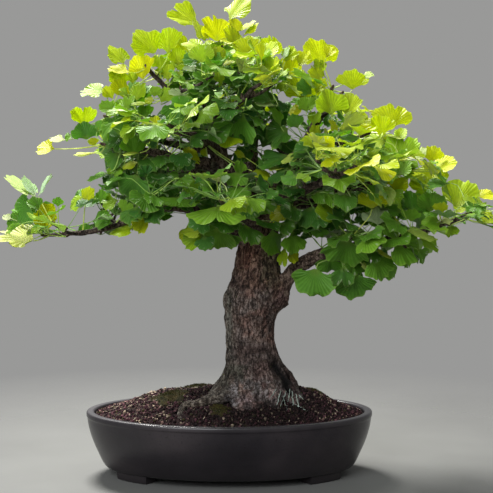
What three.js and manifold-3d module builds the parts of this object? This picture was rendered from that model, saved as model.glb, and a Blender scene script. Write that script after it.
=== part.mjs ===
// A ginkgo bonsai in an oval pot: millimetres, +Z up, the front of the tree faces -Y.
// Everything is modelled round the middle of the pot at table height. At the end the whole group moves so
// that the bottom centre of its own bounding box is the origin.
import * as THREE from "three";
import { mergeVertices } from "three/addons/utils/BufferGeometryUtils.js";
import Module from "manifold-3d";

const wasm = await Module();
wasm.setup();

// ---- Driving dimensions ----
const GAP = 0.3; // clearance between pieces that touch

const POT_LENGTH = 300;
const POT_WIDTH = 196;
const POT_HEIGHT = 66; // feet included
const LIP = 8; // width of the flat lip
const RIM_BAND = 6; // height of the band under the lip
const BAND_STEP = 0.8; // how far the wall stands back under the band
const WALL = 7;
const FLOOR = 6; // thickness of the pot's floor
const FOOT_HEIGHT = 8;
const BASE_INSET = 17; // the base is this much inside the lip's edge
const POT_SIDES = 36;
const FOOT_DEPTH = 15; // from the edge of the base towards the middle
const FOOT_SWEEP = 0.4; // angle that a foot covers, in radians
const FOOT_ANGLE = THREE.MathUtils.degToRad(38); // from the long axis

const HOLE_PLACES = [-62, 62]; // the drainage holes lie on the long axis
const HOLE_RADIUS = 9;
const SCREEN_SIDE = 28;
const SCREEN_THICKNESS = 1.2;
const SCREEN_CELLS = 4; // openings along one side of the screen
const SCREEN_BAR = 1.9; // width of the strips between the openings
const WIRE_RADIUS = 0.6;
const WIRE_BEND = 1.6; // how much of each corner of the wire is cut off
const WIRE_END = 16; // length of each end that lies under the pot

const SOIL_EDGE = POT_HEIGHT - 3; // height of the soil along the lip
const SOIL_HEAP = 12; // how much higher it lies a little way in from the lip
const SOIL_RISE = 12; // how much higher again at the trunk
const SOIL_LUMPS = 0.9; // height of each of its two sets of lumps
const MOUND_TOP = { x: 18, y: 14 }; // the soil is highest here, behind the middle of the trunk
const MOUND_REACH = { x: 150, y: 74 }; // from there to the foot of the mound

const LEAF_WIDTH = 41;
const LEAF_LENGTH = 25; // from the end of the stalk to the outer edge
const LEAVES_IN_CLUSTER = 3;
const STALK_RADIUS = 0.8;
const STALK_LENGTHS = [20, 32];
const MOST_DRAWS = 200; // tries that a cluster gets to find a free place
const BUD_LENGTH = 5;
const BUD_RADII = [1.9, 1.3];

const UP = new THREE.Vector3(0, 0, 1);
const { lerp, smoothstep } = THREE.MathUtils;

// ---- Materials ----
function material(color, roughness) {
  return new THREE.MeshStandardMaterial({ color, roughness, metalness: 0 });
}

const bark = material(0x5b4c45, 0.9);
const leafGreen = material(0x86b52c, 0.55);
const glaze = material(0x4a4446, 0.35);
const soilBrown = material(0x4b3630, 1);
const mossGreen = material(0x76782f, 1);
const screenBlack = material(0x23262a, 0.6);
const wireMetal = new THREE.MeshStandardMaterial({ color: 0xa8744e, roughness: 0.4, metalness: 1 });

// ---- Helpers ----

/** A closed geometry as a solid that can be joined and cut. */
function solidOf(geometry) {
  const bare = geometry.clone();
  bare.deleteAttribute("normal");
  bare.deleteAttribute("uv");
  const merged = mergeVertices(bare, 1e-3);
  const mesh = new wasm.Mesh({
    numProp: 3,
    vertProperties: merged.getAttribute("position").array,
    triVerts: new Uint32Array(merged.index.array),
  });
  return new wasm.Manifold(mesh);
}

/** A solid as a geometry for a mesh. */
function geometryOf(solid) {
  const { vertProperties, triVerts } = solid.getMesh();
  const geometry = new THREE.BufferGeometry();
  geometry.setAttribute("position", new THREE.BufferAttribute(vertProperties, 3));
  geometry.setIndex(new THREE.BufferAttribute(triVerts, 1));
  geometry.computeVertexNormals();
  return geometry;
}

/** Moves every vertex of a geometry to where `place` puts it. */
function warp(geometry, place) {
  const position = geometry.getAttribute("position");
  const point = new THREE.Vector3();
  for (let i = 0; i < position.count; i++) {
    position.setXYZ(i, ...place(point.fromBufferAttribute(position, i)));
  }
  return geometry;
}

/** Repeatable random numbers from 0 to 1. */
function randomFrom(seed) {
  let state = seed >>> 0;
  const next = () => {
    state = (Math.imul(state, 1664525) + 1013904223) >>> 0;
    return state / 2 ** 32;
  };
  for (let i = 0; i < 4; i++) next();
  return next;
}

function curveThrough(points) {
  const vectors = points.map((p) => new THREE.Vector3(...p));
  return new THREE.CatmullRomCurve3(vectors, false, "catmullrom", 0.5);
}

/** A rod along a curve that thins evenly from the first radius to the second; `grow` enlarges it all over. */
function rod(curve, [thick, thin], sides, rings, grow = 0) {
  const frames = curve.computeFrenetFrames(rings, false);
  const geometry = new THREE.CylinderGeometry(1, 1, 1, sides, rings);
  return warp(geometry, ({ x, y, z }) => {
    const along = y + 0.5;
    const ring = Math.round(along * rings);
    const radius = lerp(thick, thin, along) + grow;
    const pastEnd = (Math.floor(along) - Math.floor(1 - along)) * grow;
    return curve
      .getPointAt(along)
      .addScaledVector(frames.tangents[ring], pastEnd)
      .addScaledVector(frames.normals[ring], radius * x)
      .addScaledVector(frames.binormals[ring], -radius * z);
  });
}

const group = new THREE.Group();
const solids = new Map();

function addNode(name, solid, nodeMaterial) {
  const mesh = new THREE.Mesh(geometryOf(solid), nodeMaterial);
  mesh.name = name;
  solids.set(name, solid);
  group.add(mesh);
}

// ---- Pot ----

/** The point of the oval that lies `inset` inside the lip's edge, seen from above. */
function ovalPoint(inset, angle) {
  return [(POT_LENGTH / 2 - inset) * Math.cos(angle), (POT_WIDTH / 2 - inset) * Math.sin(angle)];
}

/**
 * A closed form that follows the oval. Its outline holds [inset, height] pairs from the bottom middle to the
 * top middle, and null stands for the middle itself.
 */
function ovalForm(outline, heightOf = (x, y, z) => z) {
  const middle = POT_WIDTH / 2; // a lathe radius of 0 is the middle of the oval
  const profile = outline.map(([inset, z]) => new THREE.Vector2(inset === null ? 0 : middle - inset, z));
  const lathe = new THREE.LatheGeometry(profile, POT_SIDES);
  return warp(lathe, ({ x, y, z }) => {
    const radius = Math.hypot(x, z);
    const angle = Math.atan2(-z, x);
    const [px, py] = radius < 1e-6 ? [0, 0] : ovalPoint(middle - radius, angle);
    return [px, py, heightOf(px, py, y)];
  });
}

const innerTop = LIP + 1;
const innerBottom = BASE_INSET + WALL;
const floorTop = FOOT_HEIGHT + FLOOR;

/** Inset of the inner wall at a height: it leans outwards and stands nearly upright under the lip. */
function innerInset(z) {
  return lerp(innerBottom, innerTop, smoothstep(z, 0, POT_HEIGHT - LIP));
}

// Heights at which the inner wall has an edge between the floor and the lip.
const INNER_EDGES = [26, 42];

function potSolid() {
  const bandBottom = POT_HEIGHT - RIM_BAND;
  const inner = [...INNER_EDGES, POT_HEIGHT - 2].reverse().map((z) => [innerInset(z), z]);
  const body = solidOf(
    ovalForm([
      [null, FOOT_HEIGHT],
      [BASE_INSET + 6, FOOT_HEIGHT],
      [BASE_INSET, FOOT_HEIGHT + 4],
      [BASE_INSET - 3, FOOT_HEIGHT + 12],
      [BAND_STEP + 8.7, FOOT_HEIGHT + 22],
      [BAND_STEP + 4.2, bandBottom - 20],
      [BAND_STEP + 1.3, bandBottom - 10],
      [BAND_STEP, bandBottom],
      [0, bandBottom + 1.5],
      [0, POT_HEIGHT - 1.5],
      [1.5, POT_HEIGHT],
      [LIP - 1, POT_HEIGHT],
      ...inner,
      [innerInset(floorTop), floorTop],
      [null, floorTop],
    ]),
  );
  const footAngles = [FOOT_ANGLE, Math.PI - FOOT_ANGLE, Math.PI + FOOT_ANGLE, -FOOT_ANGLE];
  const withFeet = footAngles.reduce((pot, angle) => pot.add(footSolid(angle)), body);
  return HOLE_PLACES.reduce((pot, x) => pot.subtract(drainageHole(x)), withFeet);
}

/** A foot follows the curve of the base and reaches up into the floor of the pot. */
function footSolid(angle) {
  const steps = [-0.5, -0.25, 0, 0.25, 0.5];
  const outline = (inset) => steps.map((step) => ovalPoint(inset, angle + step * FOOT_SWEEP));
  const outer = BASE_INSET + 5;
  const corners = [...outline(outer), ...outline(outer + FOOT_DEPTH).reverse()];
  const shape = new THREE.Shape(corners.map(([x, y]) => new THREE.Vector2(x, y)));
  const sunk = 2;
  return solidOf(new THREE.ExtrudeGeometry(shape, { depth: FOOT_HEIGHT + sunk, bevelEnabled: false }));
}

function drainageHole(x) {
  const hole = new THREE.CylinderGeometry(HOLE_RADIUS, HOLE_RADIUS, 3 * FLOOR, 16);
  return solidOf(hole.rotateX(Math.PI / 2).translate(x, 0, floorTop));
}

// ---- Drainage screens and the wires that hold them ----

const screenBottom = floorTop + GAP;
const screenTop = screenBottom + SCREEN_THICKNESS;
const screenPitch = (SCREEN_SIDE - SCREEN_BAR) / SCREEN_CELLS; // from one opening to the next

/** A square block at the height of the screen. */
function screenBlock(x, y, side, thickness) {
  const block = new THREE.BoxGeometry(side, side, thickness);
  return solidOf(block.translate(x, y, screenBottom + SCREEN_THICKNESS / 2));
}

function screenSolid(x) {
  const opening = screenPitch - SCREEN_BAR;
  const toCell = (n) => (n - (SCREEN_CELLS - 1) / 2) * screenPitch;
  let screen = screenBlock(x, 0, SCREEN_SIDE, SCREEN_THICKNESS);
  for (let i = 0; i < SCREEN_CELLS; i++) {
    for (let j = 0; j < SCREEN_CELLS; j++) {
      screen = screen.subtract(screenBlock(x + toCell(i), toCell(j), opening, 3 * SCREEN_THICKNESS));
    }
  }
  return screen;
}

/** The clip comes up through hole and screen, crosses over, goes down and turns out under the pot. */
function wireSolid(x) {
  const leg = screenPitch / 2; // the legs pass the middles of the openings
  const y = leg;
  const top = screenTop + WIRE_RADIUS + GAP;
  const under = FOOT_HEIGHT - WIRE_RADIUS - GAP;
  const half = [
    [leg + WIRE_END, y, under],
    [leg + WIRE_BEND, y, under],
    [leg, y, under + WIRE_BEND],
    [leg, y, top - WIRE_BEND],
    [leg - WIRE_BEND, y, top],
  ];
  const mirrored = half.map(([px, py, pz]) => [-px, py, pz]).reverse();
  const corners = [...half, ...mirrored].map(([px, py, pz]) => new THREE.Vector3(px + x, py, pz));
  const rings = corners.length - 1;
  const wire = new THREE.CylinderGeometry(1, 1, 1, 6, rings);
  const across = new THREE.Vector3(0, 1, 0);
  return solidOf(
    warp(wire, (p) => {
      const ring = Math.round((p.y + 0.5) * rings);
      const before = corners[Math.max(ring - 1, 0)];
      const after = corners[Math.min(ring + 1, rings)];
      const along = new THREE.Vector3().subVectors(after, before).normalize();
      const side = new THREE.Vector3().crossVectors(across, along);
      return corners[ring]
        .clone()
        .addScaledVector(side, -WIRE_RADIUS * p.x)
        .addScaledVector(across, WIRE_RADIUS * p.z);
    }),
  );
}

// ---- Soil and moss ----

/** Height of the soil: heaped up from the lip, mounded round the trunk, with low lumps. */
function soilHeight(x, y) {
  const toEdge = Math.hypot(x / (POT_LENGTH / 2 - LIP), y / (POT_WIDTH / 2 - LIP));
  const toTop = Math.hypot((x - MOUND_TOP.x) / MOUND_REACH.x, (y - MOUND_TOP.y) / MOUND_REACH.y);
  const mound = SOIL_HEAP + SOIL_RISE * (1 - smoothstep(toTop, 0.12, 1));
  const lumps = SOIL_LUMPS * (Math.sin(x / 11 + y / 17) + Math.sin(y / 9 - x / 23));
  return SOIL_EDGE + (mound + lumps) * (1 - smoothstep(toEdge, 0.62, 1));
}

// Rings of corners on the soil's surface, as distances inwards from its edge.
const SOIL_RINGS = [0.6, 7, 14, 23, 35, 50, 66, 80];

function soilFill() {
  const bottom = floorTop + GAP;
  const toWall = 1.5 * GAP; // the flat sides of the oval come nearer to the wall than its corners
  const wall = [bottom, ...INNER_EDGES].map((z) => [innerInset(z) + toWall, z]);
  const top = POT_HEIGHT; // stands for the height of the soil's own surface
  const surface = SOIL_RINGS.map((distance) => [innerInset(SOIL_EDGE) + distance, top]);
  const outline = [[null, bottom], ...wall, ...surface, [null, top]];
  return solidOf(ovalForm(outline, (x, y, z) => (z === top ? soilHeight(x, y) : z)));
}

/** Room for a screen and its wire under the soil. */
function screenPocket(x) {
  const side = SCREEN_SIDE + 2 * GAP;
  const top = screenTop + 2 * WIRE_RADIUS + 2 * GAP;
  const depth = top - floorTop + 2;
  return solidOf(new THREE.BoxGeometry(side, side, depth).translate(x, 0, top - depth / 2));
}

function soilSolid(woodRoom) {
  const filled = soilFill().subtract(woodRoom);
  return HOLE_PLACES.reduce((soil, x) => soil.subtract(screenPocket(x)), filled);
}

const MOSS = {
  moss_left: { x: -62, y: -8, length: 44, width: 44, height: 4 },
  moss_front: { x: -9, y: -55, length: 22, width: 24, height: 3 },
  moss_right: { x: 92, y: 20, length: 26, width: 40, height: 3.5 },
  moss_back: { x: -38, y: 48, length: 40, width: 26, height: 4 },
};

/** A low cushion of moss that follows the soil under it and keeps clear of the roots. */
function mossSolid({ x, y, length, width, height }, woodRoom) {
  const dome = new THREE.SphereGeometry(1, 12, 6).rotateX(Math.PI / 2);
  const cushion = warp(dome, (p) => {
    const px = x + (p.x * length) / 2;
    const py = y + (p.y * width) / 2;
    return [px, py, soilHeight(px, py) + p.z * height];
  });
  const raisedSoil = solidOf(geometryOf(soilFill()).translate(0, 0, GAP));
  return solidOf(cushion).subtract(raisedSoil).subtract(woodRoom);
}

// ---- Wood: one grown piece of trunk, roots, limbs and twigs ----

// Cross-sections of the trunk from below the soil to where it divides. Width and depth are half sizes.
const TRUNK_SECTIONS = [
  { z: 34, x: 27, y: 6, width: 30, depth: 26 },
  { z: 62, x: 25, y: 3, width: 60, depth: 52 },
  { z: 79, x: 26, y: 2, width: 52, depth: 46 },
  { z: 94, x: 29, y: 2, width: 41.5, depth: 37 },
  { z: 113, x: 28.5, y: 1, width: 32.5, depth: 30 },
  { z: 131, x: 24.2, y: 1, width: 27.2, depth: 25 },
  { z: 152, x: 22.1, y: 0, width: 25.6, depth: 24 },
  { z: 168, x: 24.2, y: 0, width: 28.5, depth: 26 },
  { z: 182, x: 25.2, y: 0, width: 32, depth: 28 },
  { z: 197, x: 27.7, y: 0, width: 29.2, depth: 26 },
  { z: 215, x: 30, y: 0, width: 25, depth: 23 },
  { z: 240, x: 31, y: 1, width: 23, depth: 21 },
  { z: 265, x: 32.5, y: 2, width: 19, depth: 18 },
  { z: 285, x: 31, y: 4, width: 16, depth: 15 },
  { z: 302, x: 28, y: 5, width: 9, depth: 9 },
];
const TRUNK_RINGS = 20;
const TRUNK_SIDES = 20;

/** Ribs run up the trunk. They are deep where the roots leave it and fade upwards. */
function trunkRib(angle, z) {
  const depth = lerp(0.1, 0.03, smoothstep(z, 70, 150));
  return 1 + depth * Math.cos(5 * angle + 0.9 + z / 90) + 0.02 * Math.cos(9 * angle - z / 40);
}

function trunkSolid(grow = 0) {
  const middles = curveThrough(TRUNK_SECTIONS.map(({ x, y, z }) => [x, y, z]));
  const halves = curveThrough(TRUNK_SECTIONS.map(({ width, depth }) => [width, depth, 0]));
  const trunk = new THREE.CylinderGeometry(1, 1, 1, TRUNK_SIDES, TRUNK_RINGS);
  return solidOf(
    warp(trunk, (p) => {
      const middle = middles.getPoint(p.y + 0.5);
      const half = halves.getPoint(p.y + 0.5);
      const rib = trunkRib(Math.atan2(-p.z, p.x), middle.z);
      const pastEnd = (Math.floor(p.y + 0.5) - Math.floor(0.5 - p.y)) * grow;
      return [
        middle.x + p.x * (half.x * rib + grow),
        middle.y - p.z * (half.y * rib + grow),
        middle.z + pastEnd,
      ];
    }),
  );
}

// Roots that show above the soil. Each starts inside the trunk and ends under the surface.
const ROOTS = [
  {
    radii: [10, 4.5],
    points: [[12, -14, 99], [-4, -34, 86], [-20, -38, 80], [-34, -40, 76], [-46, -44, 71], [-49, -54, 66], [-46, -65, 57]],
  },
  { radii: [14, 7], points: [[20, -14, 102], [14, -32, 88], [11, -42, 77], [8, -52, 63]] },
  { radii: [14, 6], points: [[36, -12, 100], [43, -30, 86], [48, -42, 75], [53, -52, 62]] },
  { radii: [11, 5], points: [[46, -8, 102], [57, -18, 90], [65, -27, 80], [71, -35, 67]] },
  { radii: [13, 8], points: [[42, 2, 113], [56, 5, 100], [64, 8, 88], [69, 10, 70]] },
  { radii: [13, 5], points: [[34, 18, 104], [40, 36, 90], [42, 50, 78], [41, 62, 65]] },
  { radii: [13, 5], points: [[16, 16, 102], [6, 30, 88], [-6, 42, 77], [-16, 51, 65]] },
  { radii: [13, 8], points: [[14, 2, 104], [2, 4, 94], [-10, 6, 86], [-20, 8, 70]] },
];
// The burr from which the low right limb grows: its lower and its upper half.
const BURR = [
  { radii: [10, 17], points: [[38, -1, 163], [43, -2, 174], [49, -3, 187]] },
  { radii: [17, 11], points: [[49, -3, 187], [53, -4, 195], [57, -6, 203]] },
];
const ROOT_SIDES = 7;
const ROOT_RINGS = 4;

// Limbs as hand-placed points, with the radius at each end and the number of twigs that leave them. The
// leaves at the end of a limb that hangs point down.
const LIMBS = [
  {
    name: "left leader",
    radii: [13, 2.4],
    twigs: 3,
    points: [
      [28, 5, 286], [11, 6, 306], [-6, 4, 322], [-12, 0, 340], [-20, -4, 364],
      [-27, -6, 381], [-24, -2, 405], [-18, 2, 432], [-8, 5, 452], [0, 6, 466],
    ],
  },
  {
    name: "middle leader",
    radii: [10, 2.2],
    twigs: 2,
    points: [
      [29, 5, 284], [24, 18, 311], [22, 28, 334], [29, 30, 361],
      [36, 26, 387], [39, 20, 412], [36, 16, 430],
    ],
  },
  {
    name: "right leader",
    radii: [10, 2.2],
    twigs: 2,
    points: [
      [32, 5, 282], [45, 0, 299], [59, -6, 309], [75, -8, 330],
      [86, -4, 354], [97, 0, 378], [107, 4, 402],
    ],
  },
  {
    name: "right limb",
    radii: [8, 2],
    twigs: 2,
    points: [[34, 2, 268], [58, -12, 279], [85, -24, 284], [118, -34, 294], [151, -38, 306], [182, -40, 316]],
  },
  {
    name: "low right limb",
    radii: [9, 2],
    twigs: 3,
    points: [
      [52, -4, 192], [60, -8, 204], [69, -13, 216], [81, -18, 225], [106, -26, 233],
      [135, -34, 240], [168, -38, 248], [199, -36, 257], [225, -30, 264], [240, -26, 266],
    ],
  },
  {
    name: "upper right limb",
    radii: [5, 1.8],
    twigs: 1,
    points: [[75, -8, 328], [100, 8, 339], [128, 22, 350], [150, 30, 358]],
  },
  {
    name: "left limb",
    radii: [8, 2],
    twigs: 1,
    points: [[-8, 4, 322], [-40, -18, 324], [-69, -36, 331], [-99, -46, 338], [-124, -50, 342]],
  },
  {
    name: "outer left limb",
    radii: [6, 1.8],
    twigs: 1,
    points: [[-12, 2, 338], [-44, 8, 342], [-76, 14, 350], [-106, 16, 360], [-130, 14, 369]],
  },
  {
    name: "upper left limb",
    radii: [6, 1.8],
    twigs: 1,
    points: [[-18, -2, 355], [-40, -14, 374], [-62, -22, 396], [-82, -28, 420]],
  },
  {
    name: "low left limb",
    radii: [7, 1.8],
    twigs: 3,
    points: [
      [24, -4, 238], [-3, -20, 260], [-31, -34, 276], [-61, -44, 277],
      [-95, -50, 267], [-125, -52, 257], [-159, -50, 252], [-184, -46, 251],
    ],
  },
  {
    name: "low front limb",
    radii: [7, 1.8],
    twigs: 0,
    points: [[30, -6, 252], [22, -36, 264], [8, -68, 272], [0, -100, 280], [-6, -128, 286]],
  },
  {
    name: "right front limb",
    radii: [7, 1.8],
    twigs: 2,
    points: [[36, -2, 284], [62, -34, 292], [84, -66, 300], [106, -96, 310], [120, -118, 318]],
  },
  {
    name: "left front limb",
    radii: [6, 1.8],
    twigs: 1,
    points: [[-12, 0, 336], [-24, -34, 346], [-38, -68, 352], [-56, -98, 358]],
  },
  {
    name: "high front limb",
    radii: [5, 1.8],
    twigs: 1,
    points: [[-20, -3, 362], [-4, -34, 374], [14, -60, 388], [30, -80, 398]],
  },
  {
    name: "low back limb",
    radii: [8, 1.8],
    twigs: 2,
    points: [[33, 6, 256], [26, 42, 268], [12, 82, 274], [-4, 116, 280], [-18, 144, 288]],
  },
  {
    name: "right back limb",
    radii: [8, 1.8],
    twigs: 2,
    points: [[36, 6, 282], [60, 40, 290], [88, 74, 298], [116, 102, 308], [134, 122, 316]],
  },
  {
    name: "left back limb",
    radii: [8, 1.8],
    twigs: 1,
    points: [[8, 8, 308], [-28, 38, 312], [-62, 66, 318], [-94, 88, 324], [-122, 104, 332]],
  },
  {
    name: "high back limb",
    radii: [6, 1.8],
    twigs: 0,
    points: [[22, 26, 330], [24, 58, 346], [22, 84, 366], [16, 104, 388]],
  },
  {
    name: "hanging right twig",
    radii: [2.6, 1.5],
    twigs: 0,
    hangs: true,
    points: [[92, -22, 229], [101, -34, 230], [111, -44, 226]],
  },
  {
    name: "hanging outer right twig",
    radii: [2.6, 1.5],
    twigs: 0,
    hangs: true,
    points: [[160, -37, 246], [166, -48, 246], [174, -58, 241]],
  },
  {
    name: "hanging left twig",
    radii: [2.6, 1.5],
    twigs: 0,
    hangs: true,
    points: [[-15, -27, 268], [-20, -40, 266], [-27, -52, 260]],
  },
];
const LIMB_SIDES = 6;
const LIMB_RING_SPACING = 36; // along the limb
const TWIG_RADII = [2.2, 1.3];
const TWIG_LENGTHS = [34, 52];
const TWIG_SIDES = 4;
const TWIG_RINGS = 2;
const GOLDEN_ANGLE = Math.PI * (3 - Math.sqrt(5));

/** The twigs of a limb: alternate sides on a spreading limb, round and round on a rising one. */
function twigCurves(limb, index) {
  const random = randomFrom(1000 + index * 77);
  const curve = curveThrough(limb.points);
  return Array.from({ length: limb.twigs }, (_, k) => {
    const t = lerp(0.36, 0.92, (k + 0.5) / limb.twigs);
    const start = curve.getPoint(t);
    const along = curve.getTangent(t);
    const heading = Math.atan2(along.y, along.x);
    const side = (k + index) % 2 ? 1 : -1;
    const rising = along.z > 0.7;
    const turn = rising ? (k + 1) * GOLDEN_ANGLE : side * lerp(0.8, 1.25, random());
    const lift = lerp(0.15, 0.5, random());
    const length = lerp(...TWIG_LENGTHS, random());
    const away = new THREE.Vector3(Math.cos(heading + turn), Math.sin(heading + turn), lift).normalize();
    const middle = start.clone().addScaledVector(away, length / 2).addScaledVector(UP, -2);
    const end = start.clone().addScaledVector(away, length).addScaledVector(UP, 3);
    return curveThrough([start.toArray(), middle.toArray(), end.toArray()]);
  });
}

const limbCurves = LIMBS.map((limb) => curveThrough(limb.points));
const twigsByLimb = LIMBS.map(twigCurves);

function rootSolid({ radii, points }, grow = 0) {
  return solidOf(rod(curveThrough(points), radii, ROOT_SIDES, ROOT_RINGS, grow));
}

function woodSolid() {
  let wood = trunkSolid();
  for (const swelling of [...ROOTS, ...BURR]) {
    wood = wood.add(rootSolid(swelling));
  }
  LIMBS.forEach(({ radii }, i) => {
    const rings = Math.ceil(limbCurves[i].getLength() / LIMB_RING_SPACING);
    wood = wood.add(solidOf(rod(limbCurves[i], radii, LIMB_SIDES, rings)));
    for (const twig of twigsByLimb[i]) {
      wood = wood.add(solidOf(rod(twig, TWIG_RADII, TWIG_SIDES, TWIG_RINGS)));
    }
  });
  return wood;
}

/** The trunk and roots a little thicker: the room that they need in the soil. */
function woodRoomSolid() {
  const grown = 2 * GAP;
  return ROOTS.reduce((room, root) => room.add(rootSolid(root, grown)), trunkSolid(grown));
}

// ---- Leaves ----

/** Two directions that stand square to an axis and to each other. */
function across(axis) {
  const other = Math.abs(axis.z) > 0.9 ? new THREE.Vector3(1, 0, 0) : UP;
  const first = new THREE.Vector3().crossVectors(axis, other).normalize();
  return [first, new THREE.Vector3().crossVectors(axis, first)];
}

/** Where the leaves of a whorl go. They rise and open to the light, or hang where `hang` is 1. */
function leafPlaces(seed, base, axis, hang) {
  const random = randomFrom(seed);
  const [first, second] = across(axis);
  const turn = 2 * Math.PI * random();
  return Array.from({ length: LEAVES_IN_CLUSTER }, (_, j) => {
    const angle = turn + (2 * Math.PI * (j + 0.5 * random())) / LEAVES_IN_CLUSTER;
    const spread = lerp(0.6, 1.15, random());
    const stalk = lerp(...STALK_LENGTHS, random()) * (1 - 0.4 * hang);
    const size = lerp(0.82, 1.08, random());
    const droop = lerp(0.3, 0.8, random()) + hang;
    const tilt = lerp(-0.6, 0.6, random());
    const out = axis
      .clone()
      .multiplyScalar(Math.cos(spread))
      .addScaledVector(first, Math.sin(spread) * Math.cos(angle))
      .addScaledVector(second, Math.sin(spread) * Math.sin(angle));
    out.z = lerp(out.z, lerp(0.35, -0.5, hang), 0.45); // stalks bend up to the light or hang
    out.normalize();
    const end = base.clone().addScaledVector(out, stalk);
    const middle = out.clone().addScaledVector(UP, -droop).normalize(); // along the middle of the blade
    const light = new THREE.Vector3(out.x * 0.7, out.y * 0.7 - 0.3 - hang, 0.9); // the upper side turns here
    const face = light.addScaledVector(middle, -light.dot(middle)).normalize();
    face.applyAxisAngle(middle, tilt);
    return { base, end, middle, face, size };
  });
}

// Outline of a leaf along its length: where each section lies and its half width. The last two make a notch.
const LEAF_SECTIONS = [
  { stalk: 0, blade: 0, halfWidth: null },
  { stalk: 1, blade: 0, halfWidth: null },
  { stalk: 1, blade: 0.42, halfWidth: LEAF_WIDTH / 2 },
  { stalk: 1, blade: 0.97, halfWidth: LEAF_WIDTH / 4 },
];
const NOTCH = 0.82;

/** A leaf is a stalk that opens into a thin fan, thickest along its middle. */
function leafSolid({ base, end, middle, face, size }) {
  const side = new THREE.Vector3().crossVectors(middle, face);
  const rings = LEAF_SECTIONS.length - 1;
  const leaf = new THREE.CylinderGeometry(1, 1, 1, 4, rings);
  return solidOf(
    warp(leaf, ({ x, y, z }) => {
      const { stalk, blade, halfWidth } = LEAF_SECTIONS[Math.round((y + 0.5) * rings)];
      const isNotch = blade > NOTCH && x * x + z * z < 0.5;
      const width = halfWidth === null ? STALK_RADIUS : halfWidth * size;
      return base
        .clone()
        .lerp(end, stalk)
        .addScaledVector(middle, (isNotch ? NOTCH : blade) * LEAF_LENGTH * size)
        .addScaledVector(side, width * x)
        .addScaledVector(face, STALK_RADIUS * z);
    }),
  );
}

function clusterSolid({ tip, axis, hang }, seed) {
  const foot = tip.clone().addScaledVector(axis, GAP);
  const top = foot.clone().addScaledVector(axis, BUD_LENGTH);
  const stalksFrom = foot.clone().addScaledVector(axis, BUD_LENGTH * 0.7);
  const bud = solidOf(rod(new THREE.LineCurve3(foot, top), BUD_RADII, 4, 1));
  const leaves = leafPlaces(seed, stalksFrom, axis, hang);
  return leaves.reduce((cluster, leaf) => cluster.add(leafSolid(leaf)), bud);
}

/** A whorl at each tip of a limb or twig, drawn again until it touches nothing else. */
function addClusters(wood) {
  const shoots = [...limbCurves, ...twigsByLimb.flat()].map((curve, i) => ({
    tip: curve.getPoint(1),
    axis: curve.getTangent(1),
    hang: LIMBS[i]?.hangs ? 1 : 0,
  }));
  shoots.forEach((shoot, i) => {
    const name = `leaf_cluster_${String(i + 1).padStart(2, "0")}`;
    const others = [wood, ...solids.values()];
    const isFree = (cluster) => others.every((other) => other.intersect(cluster).volume() === 0);
    for (let draw = 0; draw < MOST_DRAWS; draw++) {
      const cluster = clusterSolid(shoot, (i + 1) * MOST_DRAWS + draw);
      if (isFree(cluster)) {
        addNode(name, cluster, leafGreen);
        return;
      }
    }
    throw new Error(`${name} finds no free place`);
  });
}

// ---- Assembly ----

const wood = woodSolid();
const woodRoom = woodRoomSolid();

addClusters(wood);
addNode("trunk_and_branches", wood, bark);
addNode("pot", potSolid(), glaze);
addNode("soil", soilSolid(woodRoom), soilBrown);
for (const [name, patch] of Object.entries(MOSS)) {
  addNode(name, mossSolid(patch, woodRoom), mossGreen);
}
HOLE_PLACES.forEach((x) => {
  const side = x < 0 ? "left" : "right";
  addNode(`drainage_screen_${side}`, screenSolid(x), screenBlack);
  addNode(`screen_wire_${side}`, wireSolid(x), wireMetal);
});

const bounds = new THREE.Box3().setFromObject(group);
const middle = bounds.getCenter(new THREE.Vector3());
group.position.set(-middle.x, -middle.y, -bounds.min.z);

export default group;
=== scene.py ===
import math

import bpy
import numpy as np
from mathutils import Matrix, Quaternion, Vector, noise
from mathutils.bvhtree import BVHTree


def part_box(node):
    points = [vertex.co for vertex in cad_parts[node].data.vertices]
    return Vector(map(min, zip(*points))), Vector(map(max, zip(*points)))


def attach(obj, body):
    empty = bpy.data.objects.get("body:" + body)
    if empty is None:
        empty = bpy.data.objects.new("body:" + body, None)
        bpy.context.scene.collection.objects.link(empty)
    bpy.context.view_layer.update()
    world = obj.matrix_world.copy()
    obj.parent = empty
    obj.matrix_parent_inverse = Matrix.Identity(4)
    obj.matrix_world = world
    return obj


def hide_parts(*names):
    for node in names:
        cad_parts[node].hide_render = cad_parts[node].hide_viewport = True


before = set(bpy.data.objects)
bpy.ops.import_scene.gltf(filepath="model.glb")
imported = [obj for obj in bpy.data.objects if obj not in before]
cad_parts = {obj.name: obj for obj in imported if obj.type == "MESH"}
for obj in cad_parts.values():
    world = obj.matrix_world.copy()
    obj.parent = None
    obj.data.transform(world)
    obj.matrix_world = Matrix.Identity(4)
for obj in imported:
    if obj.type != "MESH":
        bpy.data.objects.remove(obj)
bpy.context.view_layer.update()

MM = 0.001
UP = Vector((0, 0, 1))
GOLDEN_ANGLE = math.pi * (3 - math.sqrt(5))
noise.seed_set(1)  # without it noise_vector would differ from run to run
pot_low, pot_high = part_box("pot")
POT_MIDDLE = np.array([(pot_low.x + pot_high.x) / 2, (pot_low.y + pot_high.y) / 2, 0]) / MM

# ---- The photo's view ----
PHOTO_SIDE = 493
FIELD_OF_VIEW = math.radians(24.24)
CAMERA_PLACE = Vector((18, -1200, 292))
CAMERA_PITCH = math.radians(2.6)  # below level
FOCAL = PHOTO_SIDE / 2 / math.tan(FIELD_OF_VIEW / 2)


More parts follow.
